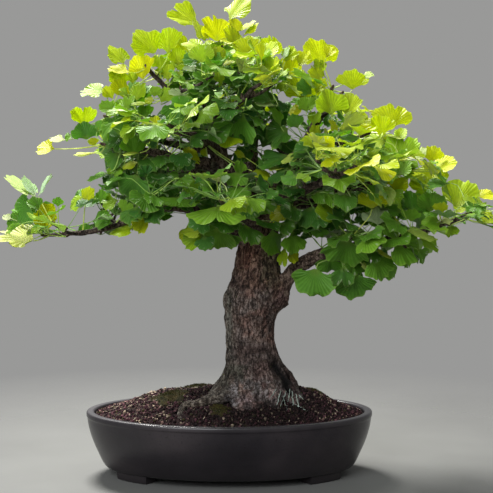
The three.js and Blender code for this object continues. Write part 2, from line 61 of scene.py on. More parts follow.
def seen_at(px, py, y):
    """The point at depth y that the photo shows at a pixel."""
    rise = (PHOTO_SIDE / 2 - py) / FOCAL
    ray = Vector((
        (px - PHOTO_SIDE / 2) / FOCAL,
        math.cos(CAMERA_PITCH) + rise * math.sin(CAMERA_PITCH),
        rise * math.cos(CAMERA_PITCH) - math.sin(CAMERA_PITCH),
    ))
    return CAMERA_PLACE + ray * ((y - CAMERA_PLACE.y) / ray.y)


def pixels(points):
    """Where the photo shows each row of an array of points."""
    x, y, z = (np.asarray(points, float) - np.array(CAMERA_PLACE)).T
    away = y * math.cos(CAMERA_PITCH) - z * math.sin(CAMERA_PITCH)
    rise = y * math.sin(CAMERA_PITCH) + z * math.cos(CAMERA_PITCH)
    return PHOTO_SIDE / 2 + FOCAL * x / away, PHOTO_SIDE / 2 - FOCAL * rise / away


# ---- Sizes that the CAD model has too ----
GAP = 0.3
POT_LENGTH = 300
POT_WIDTH = 196
POT_HEIGHT = 66
LIP = 8
RIM_BAND = 6
BAND_STEP = 0.8
WALL = 7
FOOT_HEIGHT = 8
POT_FLOOR = FOOT_HEIGHT + 6
BASE_INSET = 17
FOOT_DEPTH = 15
FOOT_SWEEP = 0.4
FOOT_ANGLE = math.radians(38)
HOLE_PLACES = [-62, 62]
HOLE_RADIUS = 9
SOIL_EDGE = 63
SOIL_HEAP = 12
SOIL_RISE = 12
SOIL_LUMPS = 0.9
MOUND_TOP = (18, 14)
MOUND_REACH = (150, 74)
LEAF_LENGTH = 25
STALK_RADIUS = 0.8
STALK_LENGTHS = (20, 32)
BUD_LENGTH = 5
BUD_WIDTH = 3.8
MOST_DRAWS = 200
TWIG_RADII = (2.2, 1.3)
TWIG_LENGTHS = (34, 52)
TWIG_PLACES = (0.36, 0.92)  # shares of the limb between which they grow
TWIG_ANGLES = (0.8, 1.25)
TWIG_LIFTS = (0.15, 0.5)

# Cross-sections of the trunk: middle x, y, z, half width and half depth.
TRUNK_SECTIONS = [
    (27, 6, 34, 30, 26),
    (25, 3, 62, 60, 52),
    (26, 2, 79, 52, 46),
    (29, 2, 94, 41.5, 37),
    (28.5, 1, 113, 32.5, 30),
    (24.2, 1, 131, 27.2, 25),
    (22.1, 0, 152, 25.6, 24),
    (24.2, 0, 168, 28.5, 26),
    (25.2, 0, 182, 32, 28),
    (27.7, 0, 197, 29.2, 26),
    (30, 0, 215, 25, 23),
    (31, 1, 240, 23, 21),
    (32.5, 2, 265, 19, 18),
    (31, 4, 285, 16, 15),
    (28, 5, 302, 9, 9),
]

# Roots: first and last radius, then the points that they run through.
ROOTS = [
    ((10, 4.5), [
        (12, -14, 99), (-4, -34, 86), (-20, -38, 81), (-34, -41, 79),
        (-46, -45, 76), (-50, -54, 73), (-49, -66, 66)]),
    ((14, 7), [(20, -14, 102), (14, -32, 88), (11, -42, 77), (8, -52, 63)]),
    ((14, 6), [(36, -12, 100), (43, -30, 86), (48, -42, 75), (53, -52, 62)]),
    ((11, 5), [(46, -8, 102), (57, -18, 90), (65, -27, 80), (71, -35, 67)]),
    ((13, 8), [(42, 2, 113), (56, 5, 100), (64, 8, 88), (69, 10, 70)]),
    ((13, 5), [(34, 18, 104), (40, 36, 90), (42, 50, 78), (41, 62, 65)]),
    ((13, 5), [(16, 16, 102), (6, 30, 88), (-6, 42, 77), (-16, 51, 65)]),
    ((13, 8), [(14, 2, 104), (2, 4, 94), (-10, 6, 86), (-20, 8, 70)]),
]
# The burr from which the low right limb grows: its lower and its upper half.
BURR = [
    ((10, 17), [(38, -1, 163), (43, -2, 174), (49, -3, 187)]),
    ((17, 11), [(49, -3, 187), (53, -4, 195), (57, -6, 203)]),
]

# Limbs: name, first and last radius, number of twigs, points. The last three hang.
LIMBS = [
    ("left_leader", (13, 2.4), 3, [
        (28, 5, 286), (11, 6, 306), (-6, 4, 322), (-12, 0, 340), (-20, -4, 364),
        (-27, -6, 381), (-24, -2, 405), (-18, 2, 432), (-8, 5, 452), (0, 6, 466)]),
    ("middle_leader", (10, 2.2), 2, [
        (29, 5, 284), (24, 18, 311), (22, 28, 334), (29, 30, 361),
        (36, 26, 387), (39, 20, 412), (36, 16, 430)]),
    ("right_leader", (10, 2.2), 2, [
        (32, 5, 282), (45, 0, 299), (59, -6, 309), (75, -8, 330),
        (86, -4, 354), (97, 0, 378), (107, 4, 402)]),
    ("right_limb", (8, 2), 2, [
        (34, 2, 268), (58, -12, 279), (85, -24, 284), (118, -34, 294), (151, -38, 306), (182, -40, 316)]),
    ("low_right_limb", (9, 2), 3, [
        (52, -4, 192), (60, -8, 204), (69, -13, 216), (81, -18, 225), (106, -26, 233),
        (135, -34, 240), (168, -38, 248), (199, -36, 257), (225, -30, 264), (240, -26, 266)]),
    ("upper_right_limb", (5, 1.8), 1, [(75, -8, 328), (100, 8, 339), (128, 22, 350), (150, 30, 358)]),
    ("left_limb", (8, 2), 1, [
        (-8, 4, 322), (-40, -18, 324), (-69, -36, 331), (-99, -46, 338), (-124, -50, 342)]),
    ("outer_left_limb", (6, 1.8), 1, [
        (-12, 2, 338), (-44, 8, 342), (-76, 14, 350), (-106, 16, 360), (-130, 14, 369)]),
    ("upper_left_limb", (6, 1.8), 1, [(-18, -2, 355), (-40, -14, 374), (-62, -22, 396), (-82, -28, 420)]),
    ("low_left_limb", (7, 1.8), 3, [
        (24, -4, 238), (-3, -20, 260), (-31, -34, 276), (-61, -44, 277),
        (-95, -50, 267), (-125, -52, 257), (-159, -50, 252), (-184, -46, 251)]),
    ("low_front_limb", (7, 1.8), 0, [
        (30, -6, 252), (22, -36, 264), (8, -68, 272), (0, -100, 280), (-6, -128, 286)]),
    ("right_front_limb", (7, 1.8), 2, [
        (36, -2, 284), (62, -34, 292), (84, -66, 300), (106, -96, 310), (120, -118, 318)]),
    ("left_front_limb", (6, 1.8), 1, [(-12, 0, 336), (-24, -34, 346), (-38, -68, 352), (-56, -98, 358)]),
    ("high_front_limb", (5, 1.8), 1, [(-20, -3, 362), (-4, -34, 374), (14, -60, 388), (30, -80, 398)]),
    ("low_back_limb", (8, 1.8), 2, [
        (33, 6, 256), (26, 42, 268), (12, 82, 274), (-4, 116, 280), (-18, 144, 288)]),
    ("right_back_limb", (8, 1.8), 2, [
        (36, 6, 282), (60, 40, 290), (88, 74, 298), (116, 102, 308), (134, 122, 316)]),
    ("left_back_limb", (8, 1.8), 1, [
        (8, 8, 308), (-28, 38, 312), (-62, 66, 318), (-94, 88, 324), (-122, 104, 332)]),
    ("high_back_limb", (6, 1.8), 0, [(22, 26, 330), (24, 58, 346), (22, 84, 366), (16, 104, 388)]),
    ("hanging_right_twig", (2.6, 1.5), 0, [(92, -22, 229), (101, -34, 230), (111, -44, 226)]),
    ("hanging_outer_right_twig", (2.6, 1.5), 0, [(160, -37, 246), (166, -48, 246), (174, -58, 241)]),
    ("hanging_left_twig", (2.6, 1.5), 0, [(-15, -27, 268), (-20, -40, 266), (-27, -52, 260)]),
]
HANGING = 3


# ---- Helpers: numbers and curves ----
class Draws:
    """The repeatable numbers from 0 to 1 that the CAD model draws too."""

    def __init__(self, seed):
        self.state = seed
        for _ in range(4):
            self()

    def __call__(self, low=0.0, high=1.0):
        self.state = (self.state * 1664525 + 1013904223) % 2**32
        return low + (high - low) * self.state / 2**32


def smoothstep(value, low, high):
    """From 0 at `low` to 1 at `high`, with a soft start and end."""
    t = np.clip((value - low) / (high - low), 0, 1)
    return t * t * (3 - 2 * t)


def lerp(a, b, t):
    """The mix of a and b that is a where t is 0 and b where it is 1."""
    return a + (b - a) * t


def unit(vectors):
    """Rows of an array at length 1."""
    return vectors / np.linalg.norm(vectors, axis=-1, keepdims=True)


def turns(count):
    """Angles of a full turn in even steps."""
    return np.arange(count) * 2 * math.pi / count


def noise_at(points, size, shift=(0, 0, 0)):
    """Smooth noise at each point, with features about `size` long."""
    return np.array([noise.noise(Vector(p) / size + Vector(shift)) for p in points])


def wander_at(points, size, shift):
    """A smooth random offset for each point."""
    return np.array([noise.noise_vector(Vector(p) / size + Vector(shift)) for p in points])


def joined(*columns):
    """Columns of numbers as rows of points."""
    return np.stack(np.broadcast_arrays(*columns), axis=-1)


def across(axis):
    """Two directions that stand square to an axis and to each other."""
    first = axis.cross(Vector((1, 0, 0)) if abs(axis.z) > 0.9 else UP).normalized()
    return first, axis.cross(first)


class Curve:
    """A smooth curve through points, the same one as in the CAD model."""

    def __init__(self, points):
        inner = [Vector(p) for p in points]
        self.spans = len(inner) - 1
        self.guides = [2 * inner[0] - inner[1], *inner, 2 * inner[-1] - inner[-2]]

    def at(self, t):
        place = min(max(t, 0), 1) * self.spans
        i = min(int(place), self.spans - 1)
        u = place - i
        a, b, c, d = self.guides[i : i + 4]
        leave, arrive = (c - a) / 2, (d - b) / 2
        bend = 3 * (c - b) - 2 * leave - arrive
        return b + leave * u + bend * u**2 + (2 * (b - c) + leave + arrive) * u**3

    def direction(self, t):
        return (self.at(min(t + 1e-4, 1)) - self.at(max(t - 1e-4, 0))).normalized()

    def spaced(self, step):
        """Points about one step apart, and how far along the curve each lies."""
        dense = np.array([self.at(i / 200) for i in range(201)])
        run = np.concatenate([[0], np.cumsum(np.linalg.norm(np.diff(dense, axis=0), axis=1))])
        places = np.linspace(0, run[-1], max(3, round(run[-1] / step)) + 1)
        return np.stack([np.interp(places, run, dense[:, k]) for k in range(3)], axis=1), places


# ---- Helpers: meshes ----
class Skin:
    """Gathers closed forms for one mesh. Each has a tint and a place, which its material reads."""

    def __init__(self):
        self.points, self.faces, self.tints, self.places, self.kinds = [], [], [], [], []
        self.count = 0

    def add(self, points, faces, tint=(1, 1, 1), place=(0, 0, 0), kind=0):
        size = (len(points), 3)
        self.points.append(np.asarray(points, float))
        self.faces += shifted(faces, self.count)
        self.tints.append(np.broadcast_to(np.asarray(tint, float), size))
        self.places.append(np.broadcast_to(np.asarray(place, float), size))
        self.kinds += [kind] * len(faces)
        self.count += len(points)

    def build(self, name, materials, replaces, slot):
        """Makes the piece, which rides on the tree and stands for the CAD nodes it replaces."""
        obj = new_object(name, np.concatenate(self.points), self.faces)
        tints = np.concatenate([np.concatenate(self.tints), np.ones((self.count, 1))], axis=1)
        obj.data.attributes.new("tint", "FLOAT_COLOR", "POINT").data.foreach_set("color", tints.ravel())
        places = np.concatenate(self.places)
        obj.data.attributes.new("place", "FLOAT_VECTOR", "POINT").data.foreach_set("vector", places.ravel())
        for material in materials:
            obj.data.materials.append(material)
        obj.data.polygons.foreach_set("material_index", self.kinds)
        return finished(obj, replaces)


def new_object(name, points, faces):
    """An object from points in millimetres, placed in metres of the row frame."""
    mesh = bpy.data.meshes.new(name)
    mesh.from_pydata(((points + POT_MIDDLE) * MM).tolist(), [], faces)
    obj = bpy.data.objects.new(name, mesh)
    bpy.context.scene.collection.objects.link(obj)
    return obj


def finished(obj, replaces):
    """Smooth shading with sharp edges kept, and what the frame has to know of the piece."""
    obj.data.polygons.foreach_set("use_smooth", [True] * len(obj.data.polygons))
    obj.data.set_sharp_from_angle(angle=math.radians(55))
    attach(obj, "root")
    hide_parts(*replaces)
    return obj


def applied(obj, *modifiers):
    """The mesh of an object with modifiers on it, as arrays of points and faces. The object goes."""
    for kind, settings in modifiers:
        modifier = obj.modifiers.new(kind, kind)
        for key, value in settings.items():
            setattr(modifier, key, value)
    evaluated = obj.evaluated_get(bpy.context.evaluated_depsgraph_get())
    mesh = bpy.data.meshes.new_from_object(evaluated)
    points = np.zeros(len(mesh.vertices) * 3)
    mesh.vertices.foreach_get("co", points)
    faces = [list(p.vertices) for p in mesh.polygons]
    bpy.data.objects.remove(obj)
    bpy.data.meshes.remove(mesh)
    return points.reshape(-1, 3) / MM - POT_MIDDLE, faces


def shifted(faces, first):
    """Faces for points that start at index `first`."""
    return [[i + first for i in face] for face in faces]


def ring_faces(rings, sides, capped=True):
    """Quads between rings of points that follow one another, and a cap on either end."""
    faces = []
    for start in range(0, (rings - 1) * sides, sides):
        for j in range(sides):
            k = (j + 1) % sides
            faces.append([start + j, start + k, start + sides + k, start + sides + j])
    if capped:
        last = (rings - 1) * sides
        faces += [list(range(sides - 1, -1, -1)), list(range(last, last + sides))]
    return faces


def grid_faces(rows, wide, first=0):
    """Quads between rows of points, each row `wide` points long."""
    corners = [first + i * wide + j for i in range(rows - 1) for j in range(wide - 1)]
    return [[corner, corner + 1, corner + wide + 1, corner + wide] for corner in corners]


def carried(directions):
    """Two directions square to a path at each of its points, carried along it without twist."""
    first = np.array(across(Vector(directions[0]))[0])
    firsts = []
    for direction in directions:
        first = unit(first - direction * (first @ direction))
        firsts.append(first)
    firsts = np.array(firsts)
    return firsts, np.cross(directions, firsts)


def tube(points, radii, sides):
    """A closed tube round a path: points and faces."""
    points, radii = np.asarray(points, float), np.asarray(radii, float)
    first, second = carried(unit(np.gradient(points, axis=0)))
    angles = turns(sides)[:, None]
    out = first[:, None] * np.cos(angles) + second[:, None] * np.sin(angles)
    rings = points[:, None] + out * radii[:, None, None]
    return rings.reshape(-1, 3), ring_faces(len(points), sides)


# ---- Helpers: materials ----
def linear(red, green, blue):
    """A colour given as on a screen, from 0 to 255, in the renderer's own linear values."""
    parts = [c / 255 for c in (red, green, blue)]
    return tuple(c / 12.92 if c <= 0.04045 else ((c + 0.055) / 1.055) ** 2.4 for c in parts)


class Material:
    """A node material with one Principled shader."""

    def __init__(self, name, **values):
        self.made = bpy.data.materials.new(name)
        self.made.use_nodes = True
        self.tree = self.made.node_tree
        self.shader = self.tree.nodes["Principled BSDF"]
        self.output = self.tree.nodes["Material Output"]
        for socket, value in values.items():
            self.shader.inputs[socket.replace("_", " ")].default_value = value

    def node(self, kind, inputs=None, **settings):
        made = self.tree.nodes.new("ShaderNode" + kind)
        for key, value in settings.items():
            setattr(made, key, value)
        for key, value in (inputs or {}).items():
            if isinstance(value, bpy.types.NodeSocket):
                self.tree.links.new(value, made.inputs[key])
            else:
                made.inputs[key].default_value = value
        return made

    def link(self, output, socket):
        self.tree.links.new(output, self.shader.inputs[socket])

    def tint(self):
        """The colour that the mesh brings."""
        return self.node("Attribute", attribute_name="tint").outputs["Color"]

    def place(self):
        """The three numbers of the mesh's own that tell the material where on the form it is."""
        place = self.node("Attribute", attribute_name="place").outputs["Vector"]
        parts = self.node("SeparateXYZ", {"Vector": place})
        return [parts.outputs[axis] for axis in "XYZ"]

    def math(self, operation, *values):
        return self.node("Math", dict(enumerate(values)), operation=operation).outputs[0]

    def noise(self, scale, detail=3, stretch=(1, 1, 1), distortion=0.0):
        """Noise in the object's own coordinates, with `scale` features to the metre."""
        place = self.node("TexCoord").outputs["Object"]
        mapping = self.node("Mapping", {"Vector": place, "Scale": stretch})
        inputs = {"Vector": mapping.outputs[0], "Scale": scale, "Detail": detail, "Distortion": distortion}
        return self.node("TexNoise", inputs).outputs["Fac"]

    def ramp(self, value, *stops):
        """Colours along a value; each stop is (place, colour)."""
        made = self.node("ValToRGB", {"Fac": value})
        marks = made.color_ramp.elements
        while len(marks) < len(stops):
            marks.new(0.5)
        for mark, (place, colour) in zip(marks, stops):
            mark.position = place
            mark.color = (*colour, 1)
        return made.outputs["Color"]

    def levels(self, value, low, high, to_low=0.0, to_high=1.0):
        """A value from low to high as one from to_low to to_high."""
        inputs = {"Value": value, "From Min": low, "From Max": high, "To Min": to_low, "To Max": to_high}
        return self.node("MapRange", inputs).outputs["Result"]

    def mix(self, factor, a, b, blend="MIX"):
        made = self.node("Mix", data_type="RGBA", blend_type=blend)
        for index, value in ((0, factor), (6, a), (7, b)):
            if isinstance(value, bpy.types.NodeSocket):
                self.tree.links.new(value, made.inputs[index])
            elif index:
                made.inputs[index].default_value = (*value, 1)
            else:
                made.inputs[index].default_value = value
        return made.outputs[2]

    def bump(self, height, distance, strength=1.0, normal=None):
        inputs = {"Height": height, "Distance": distance * MM, "Strength": strength}
        if normal:
            inputs["Normal"] = normal
        return self.node("Bump", inputs).outputs["Normal"]


# ---- Branches ----
BRANCH_STEP = 2.0
SWAY = 4.0  # how far limbs wander from their smooth curve
SWAY_LENGTH = 26  # about how long each bend of theirs is
SWAY_START = 30  # how far from its start a limb or root wanders in full


class Branch:
    """A limb or twig: points, directions and radii a step apart, and how far along each lies."""

    def __init__(self, curve, radii, seed, sway, shift=(0, 0, 0)):
        self.points, self.run = curve.spaced(BRANCH_STEP)
        self.length = self.run[-1]
        share = self.run / self.length
        window = smoothstep(self.run, 0, SWAY_START) * (1 - smoothstep(share, 0.8, 1))
        wander = wander_at(self.points, SWAY_LENGTH, (seed, 0, 0))
        self.points = self.points + wander * sway * window[:, None]
        self.points += np.array(shift) * (1 - share[:, None]) ** 2
        self.directions = unit(np.gradient(self.points, axis=0))
        self.radii = lerp(radii[0], radii[1], share)

    def at(self, distance):
        i = int(round(min(max(distance / self.length, 0), 1) * (len(self.points) - 1)))
        return Vector(self.points[i]), Vector(self.directions[i]), self.radii[i]


def twig_curves(limb_curve, twigs, index):
    """The twigs of a limb, where the CAD model has them."""
    draw = Draws(1000 + index * 77)
    curves = []
    for k in range(twigs):
        t = lerp(*TWIG_PLACES, (k + 0.5) / twigs)
        start, along = limb_curve.at(t), limb_curve.direction(t)
        side = 1 if (k + index) % 2 else -1
        turn = (k + 1) * GOLDEN_ANGLE if along.z > 0.7 else side * draw(*TWIG_ANGLES)
        lift, length = draw(*TWIG_LIFTS), draw(*TWIG_LENGTHS)
        heading = math.atan2(along.y, along.x) + turn
        away = Vector((math.cos(heading), math.sin(heading), lift)).normalized()
        middle = start + away * length / 2 - 2 * UP
        curves.append((t, Curve([start, middle, start + away * length + 3 * UP])))
    return curves


limb_curves = [Curve(points) for _, _, _, points in LIMBS]
twigs_by_limb = [twig_curves(limb_curves[i], limb[2], i) for i, limb in enumerate(LIMBS)]
limb_branches = []
twig_branches = []
for i, (limb_name, limb_radii, _, _) in enumerate(LIMBS):
    hangs = i >= len(LIMBS) - HANGING
    limb_branches.append(Branch(limb_curves[i], limb_radii, 3 * i, 1 if hangs else SWAY))
    own = []
    for t, curve in twigs_by_limb[i]:
        start = curve.at(0)
        nearest = min(limb_branches[i].points, key=lambda p: (Vector(p) - start).length)
        own.append(Branch(curve, TWIG_RADII, 3 * i + 50, SWAY / 2, nearest - np.array(start)))
    twig_branches.append(own)


# ---- Bark ----
CRACK_SPACING = 3.7
CRACK_STRETCH = 3.8  # how much longer than wide the plates between the cracks are
CRACK_DEPTH = 1.5
BARK_INSET = 0.9  # the bark lies this much inside the smooth form, so that its lumps don't thicken the trunk
# A hollow runs down between the middle of the flare and the root on the right, darkened with painted shade:
# its line in the photo.
CLEFT = [(279, 366), (285, 374), (290, 382), (294, 390)]
CLEFT_WIDTH = 6.5
CLEFT_DEPTH = 8.0
CLEFT_PAINTED_SHADE = 0.98
# Patches of the bark that stand out in the photo: pixel of the middle, half width and half height in pixels,
# and shade, where 1 is the bark's own. The very dark ones at the foot, beside the cleft and on the left of
# the foot are painted shade, and the light strip on the right root's edge is a painted highlight.
BARK_PATCHES_AND_PAINTED_SHADE = [
    (248, 258, 8, 14, (1.2, 0.74, 0.62)), (268, 272, 8, 16, (0.62, 0.62, 0.45)),
    (238, 283, 10, 8, (0.58, 0.46, 0.44)), (283, 298, 9, 11, (0.98, 0.72, 0.74)),
    (229, 325, 4, 30, (0.72, 0.86, 0.82)), (256, 331, 9, 13, (1.15, 1.06, 1.04)),
    (254, 350, 17, 4, (0.5, 0.42, 0.42)), (235, 372, 13, 9, (0.42, 0.5, 0.44)),
    (262, 370, 8, 9, (0.98, 0.82, 0.84)), (281, 358, 4, 9, (1.05, 1.06, 1.05)),
    (293, 370, 4, 10, (1.25, 1.28, 1.25)), (234, 393, 7, 12, (1.1, 1.28, 1.5)),
    (246, 397, 10, 5, (1.15, 1.05, 1.2)), (272, 387, 4, 6, (2.2, 2.1, 2.2)),
    (250, 385, 14, 5, (0.85, 0.95, 1.05)), (265, 403, 18, 7, (0.12, 0.09, 0.09)),
    (287, 382, 6, 9, (0.2, 0.16, 0.16)), (222, 381, 10, 8, (0.42, 0.48, 0.44)),
    (200, 402, 18, 6, (1.0, 1.04, 0.94)),
]


def crack(place):
    """How deep the bark is cracked, from 0 on a plate to 1 in a crack."""
    wander = 0.9 * noise.noise(place * 0.45)
    wide = abs(noise.noise(place + Vector((wander, wander, 0))))
    fine = abs(noise.noise(place * 2.1 + Vector((9, 4, 2))))
    rough = noise.noise(place * 1.6 + Vector((2, 8, 5)))
    cut = 0.7 * max(0.0, 1 - wide / 0.22) + 0.45 * max(0.0, 1 - fine / 0.2) + 0.35 * rough
    return min(max(cut, 0.0), 1.0)


def bark_place(across_first, across_second, radius, run):
    """Coordinates for the cracks: round the wood and along it."""
    reach = radius / CRACK_SPACING
    return Vector((across_first * reach, across_second * reach, run / (CRACK_SPACING * CRACK_STRETCH)))


def trunk_form():
    """The trunk before its bark: rings of points that follow its sections, with ribs."""
    middles = Curve([s[:3] for s in TRUNK_SECTIONS])
    halves = Curve([(s[3], s[4], 0) for s in TRUNK_SECTIONS])
    rings, sides = 110, 96
    angles = turns(sides)
    points = []
    for t in np.arange(rings) / (rings - 1):
        middle, half = middles.at(t), halves.at(t)
        z = middle.z
        rib = 1 + lerp(0.1, 0.03, smoothstep(z, 70, 150)) * np.cos(5 * angles + 0.9 + z / 90)
        rib += 0.02 * np.cos(9 * angles - z / 40)
        x, y = half.x * rib * np.cos(angles), half.y * rib * np.sin(angles)
        points.append(joined(middle.x + x, middle.y + y, z))
    return np.concatenate(points), ring_faces(rings, sides)


CHUNK = 4000  # points measured in one go


class Core:
    """The middle line of the trunk, a root or a limb, from which bark coordinates are measured."""

    def __init__(self, points, run, radii, roughness):
        self.points, self.run, self.roughness = points, run, roughness
        self.radii = radii  # two for each point, across X and Y for the trunk
        self.directions = unit(np.gradient(points, axis=0))
        self.first, self.second = carried(self.directions)
        self.reach = float(np.mean(radii))

    def measure(self, places):
        """For each place: how far it lies off the core's surface as a share, and its bark coordinates."""
        near = np.zeros(len(places), int)
        for begin in range(0, len(places), CHUNK):
            part = slice(begin, begin + CHUNK)
            near[part] = np.linalg.norm(places[part, None] - self.points, axis=2).argmin(axis=1)
        away = places - self.points[near]
        first = (away * self.first[near]).sum(axis=1) / self.radii[near, 0]
        second = (away * self.second[near]).sum(axis=1) / self.radii[near, 1]
        share = np.hypot(first, second)
        run = self.run[near] + (away * self.directions[near]).sum(axis=1)
        return share - 1, first / (share + 1e-9), second / (share + 1e-9), run


ROOT_SWAY = np.array([3.0, 3.0, 0.9])  # how far roots wander, by direction
ROOT_SWAY_LENGTH = 18


def root_path(points):
    """A root's points, which wander a little sideways."""
    path, run = Curve(points).spaced(BRANCH_STEP)
    wander = wander_at(path, ROOT_SWAY_LENGTH, (points[-1][0], points[-1][1], 0)) * ROOT_SWAY
    window = smoothstep(run, 8, SWAY_START)
    return path + wander * window[:, None], run


VOXEL = 1.15  # mesh size of the trunk
FILLET_ROUNDS = 7
STUB_LENGTH = 26  # how much of a limb grows together with the trunk
STUB_RADIUS = 5  # limbs no thicker than this get no such collar
STUB_TOP = 330  # nor do those that start above this
TRUNK_BOTTOM = 56  # below this the trunk is buried
TRUNK_REACH = 30  # the trunk's mean radius, for its bark coordinates
ROOT_SIDES = 24
STUB_SIDES = 20
ROOT_ROUGHNESS = 0.55  # share of the trunk's crack depth
BURR_ROUGHNESS = 0.8


def trunk_parts():
    """The closed forms that make up the trunk, and the cores that their bark follows."""
    parts = Skin()
    parts.add(*trunk_form())
    middles = np.array([s[:3] for s in TRUNK_SECTIONS], float)
    halves = np.array([s[3:] for s in TRUNK_SECTIONS], float)
    heights = np.arange(TRUNK_SECTIONS[0][2], TRUNK_SECTIONS[-1][2], 3.0)
    line = np.stack([np.interp(heights, middles[:, 2], middles[:, k]) for k in range(3)], axis=1)
    around = np.stack([np.interp(heights, middles[:, 2], halves[:, k]) for k in range(2)], axis=1)
    cores = [Core(line, heights, around, 1.0)]
    cores[0].first = np.tile([1.0, 0, 0], (len(line), 1))
    cores[0].second = np.tile([0, 1.0, 0], (len(line), 1))
    cores[0].reach = TRUNK_REACH
    for i, (radii, points) in enumerate([*ROOTS, *BURR]):
        path, run = root_path(points)
        thick = lerp(radii[0], radii[1], run / run[-1])
        thick = thick * np.array([1 + 0.16 * noise.noise(Vector((s / 14, 7.7 * i, 0))) for s in run])
        parts.add(*tube(path, thick, ROOT_SIDES))
        roughness = ROOT_ROUGHNESS if i < len(ROOTS) else BURR_ROUGHNESS
        cores.append(Core(path, run, joined(thick, thick), roughness))
    for branch in limb_branches:
        if branch.radii[0] > STUB_RADIUS and branch.points[0][2] < STUB_TOP:
            near = branch.run < STUB_LENGTH
            collar = 1.25 - 0.4 * smoothstep(branch.run[near], 0, STUB_LENGTH)
            parts.add(*tube(branch.points[near], branch.radii[near] * collar, STUB_SIDES))
    return parts, cores


def cracks_over(points, cores):
    """How cracked the bark is at each point, and how deep its relief, blended from the cores near it."""
    weights, depth, relief = np.zeros((3, len(points)))
    for number, core in enumerate(cores):
        off, first, second, run = core.measure(points)
        weight = np.exp(-5 * np.abs(off))
        weight[weight <= 0.08] = 0
        for i in np.nonzero(weight)[0]:
            place = bark_place(first[i], second[i], core.reach, run[i]) + Vector((0, 0, 31.7 * number))
            cut = crack(place)
            depth[i] += weight[i] * cut
            relief[i] += weight[i] * cut * core.roughness
        weights += weight
    weights = np.maximum(weights, 1e-6)
    return depth / weights, relief / weights


def trunk_skin():
    """Trunk, roots, burr and the first bit of each limb as one skin, with cracked bark."""
    parts, cores = trunk_parts()
    raw = new_object("raw_trunk", np.concatenate(parts.points), parts.faces)
    points, faces = applied(raw, ("REMESH", {"mode": "VOXEL", "voxel_size": VOXEL * MM}))
    points, faces = cropped(points, faces, TRUNK_BOTTOM)
    quads = np.array(faces)
    edges = np.concatenate([quads[:, [k, (k + 1) % 4]] for k in range(4)])
    points = relaxed(points, edges, FILLET_ROUNDS)
    depth, relief = cracks_over(points, cores)
    cleft = near_cleft(points)
    lumps = 1.7 * noise_at(points, 17) + 1.1 * noise_at(points, 7, (3, 1, 4))
    rise = lumps - CRACK_DEPTH * relief - BARK_INSET - CLEFT_DEPTH * cleft
    points = points + normals_of(points, quads) * rise[:, None]
    skin = Skin()
    # Painted shade darkens the hollow of the flare.
    tint = trunk_tint(points) * (1 - CLEFT_PAINTED_SHADE * cleft[:, None])
    skin.add(points, faces, tint, joined(depth, relief, cleft))
    return skin


def near_cleft(points):
    """How deep each point lies in the hollow of the flare, from 0 to 1 along its middle."""
    line = np.array(Curve([seen_at(px, py, -30) for px, py in CLEFT]).spaced(2)[0])[:, [0, 2]]
    gaps = np.min([np.linalg.norm(points[:, [0, 2]] - spot, axis=1) for spot in line], axis=0)
    return np.exp(-((gaps / CLEFT_WIDTH) ** 2)) * (points[:, 1] < 0)


def cropped(points, faces, bottom):
    """The mesh above a height."""
    above = points[:, 2] > bottom
    faces = np.array(faces)
    faces = faces[above[faces].all(axis=1)]
    used = np.zeros(len(points), bool)
    used[faces] = True
    index = np.cumsum(used) - 1
    return points[used], index[faces].tolist()


def relaxed(points, edges, rounds):
    """Points pulled towards the middle of their neighbours, which rounds the valleys between forms."""
    ends = np.concatenate([edges, edges[:, ::-1]])
    degree = np.bincount(ends[:, 0], minlength=len(points))
    for _ in range(rounds):
        sums = [np.bincount(ends[:, 0], points[ends[:, 1], k], len(points)) for k in range(3)]
        points = lerp(points, np.stack(sums, axis=1) / np.maximum(degree, 1)[:, None], 0.5)
    return points


def normals_of(points, quads):
    """The direction that the surface faces at each point."""
    a, b, c, d = (points[quads[:, k]] for k in range(4))
    face_normals = np.cross(c - a, d - b)
    corners = quads.ravel()
    spread = np.repeat(face_normals, 4, axis=0)
    sums = [np.bincount(corners, spread[:, k], len(points)) for k in range(3)]
    return unit(np.stack(sums, axis=1) + 1e-12)


def trunk_tint(points):
    """Shades of the bark: blue-grey on the foot, dark above it, purplish, then rusty and olive higher up,
    with painted shade on its left side and in the darkest patches, and a painted highlight in one light
    patch.
    """
    x, _, z = points.T
    patches, blotches, spots = (noise_at(points, size, (size, 7, 3)) for size in (21, 8, 3.2))
    foot = 1 - smoothstep(z + 16 * patches, 86, 104)
    dusk = smoothstep(z, 98, 112) * (1 - smoothstep(z + 12 * patches, 124, 150))
    high = smoothstep(z + 16 * patches, 190, 228)
    shades = [
        (smoothstep(blotches + patches, 0.0, 0.45), (0.8, 0.62, 0.58)),
        (smoothstep(-blotches - patches, 0.15, 0.5), (1.14, 1.14, 1.16)),
        (foot, (0.98, 1.04, 1.16)),
        (foot * smoothstep(blotches, 0.05, 0.3), (0.8, 0.66, 0.7)),
        (0.85 * dusk, (0.52, 0.5, 0.52)),
        (high, (1.3, 1.0, 0.84)),
        (high * smoothstep(x + 20 * blotches, 34, 50), (0.9, 0.92, 0.62)),
        # Painted shade on the trunk's left side.
        (0.9 * smoothstep(24 - x + 10 * blotches, 10, 30), (0.66, 0.74, 0.7)),
    ]
    # Patches of bark colour; the darkest of them are painted shade, and the light strip on the right root a
    # painted highlight.
    for px, py, wide, tall, shade in BARK_PATCHES_AND_PAINTED_SHADE:
        middle = seen_at(px, py, -25)
        far = np.hypot((x - middle.x) / wide, (z - middle.z) / tall) + 0.9 * blotches + 0.5 * spots
        shades.append((0.85 * (1 - smoothstep(far, 0.5, 1.3)), shade))
    tint = np.tile([1.0, 0.91, 0.9], (len(points), 1))
    for share, shade in shades:
        tint = lerp(tint, np.array(shade), share[:, None])
    return 0.86 * tint * (1 + 0.6 * blotches + 0.5 * spots)[:, None]


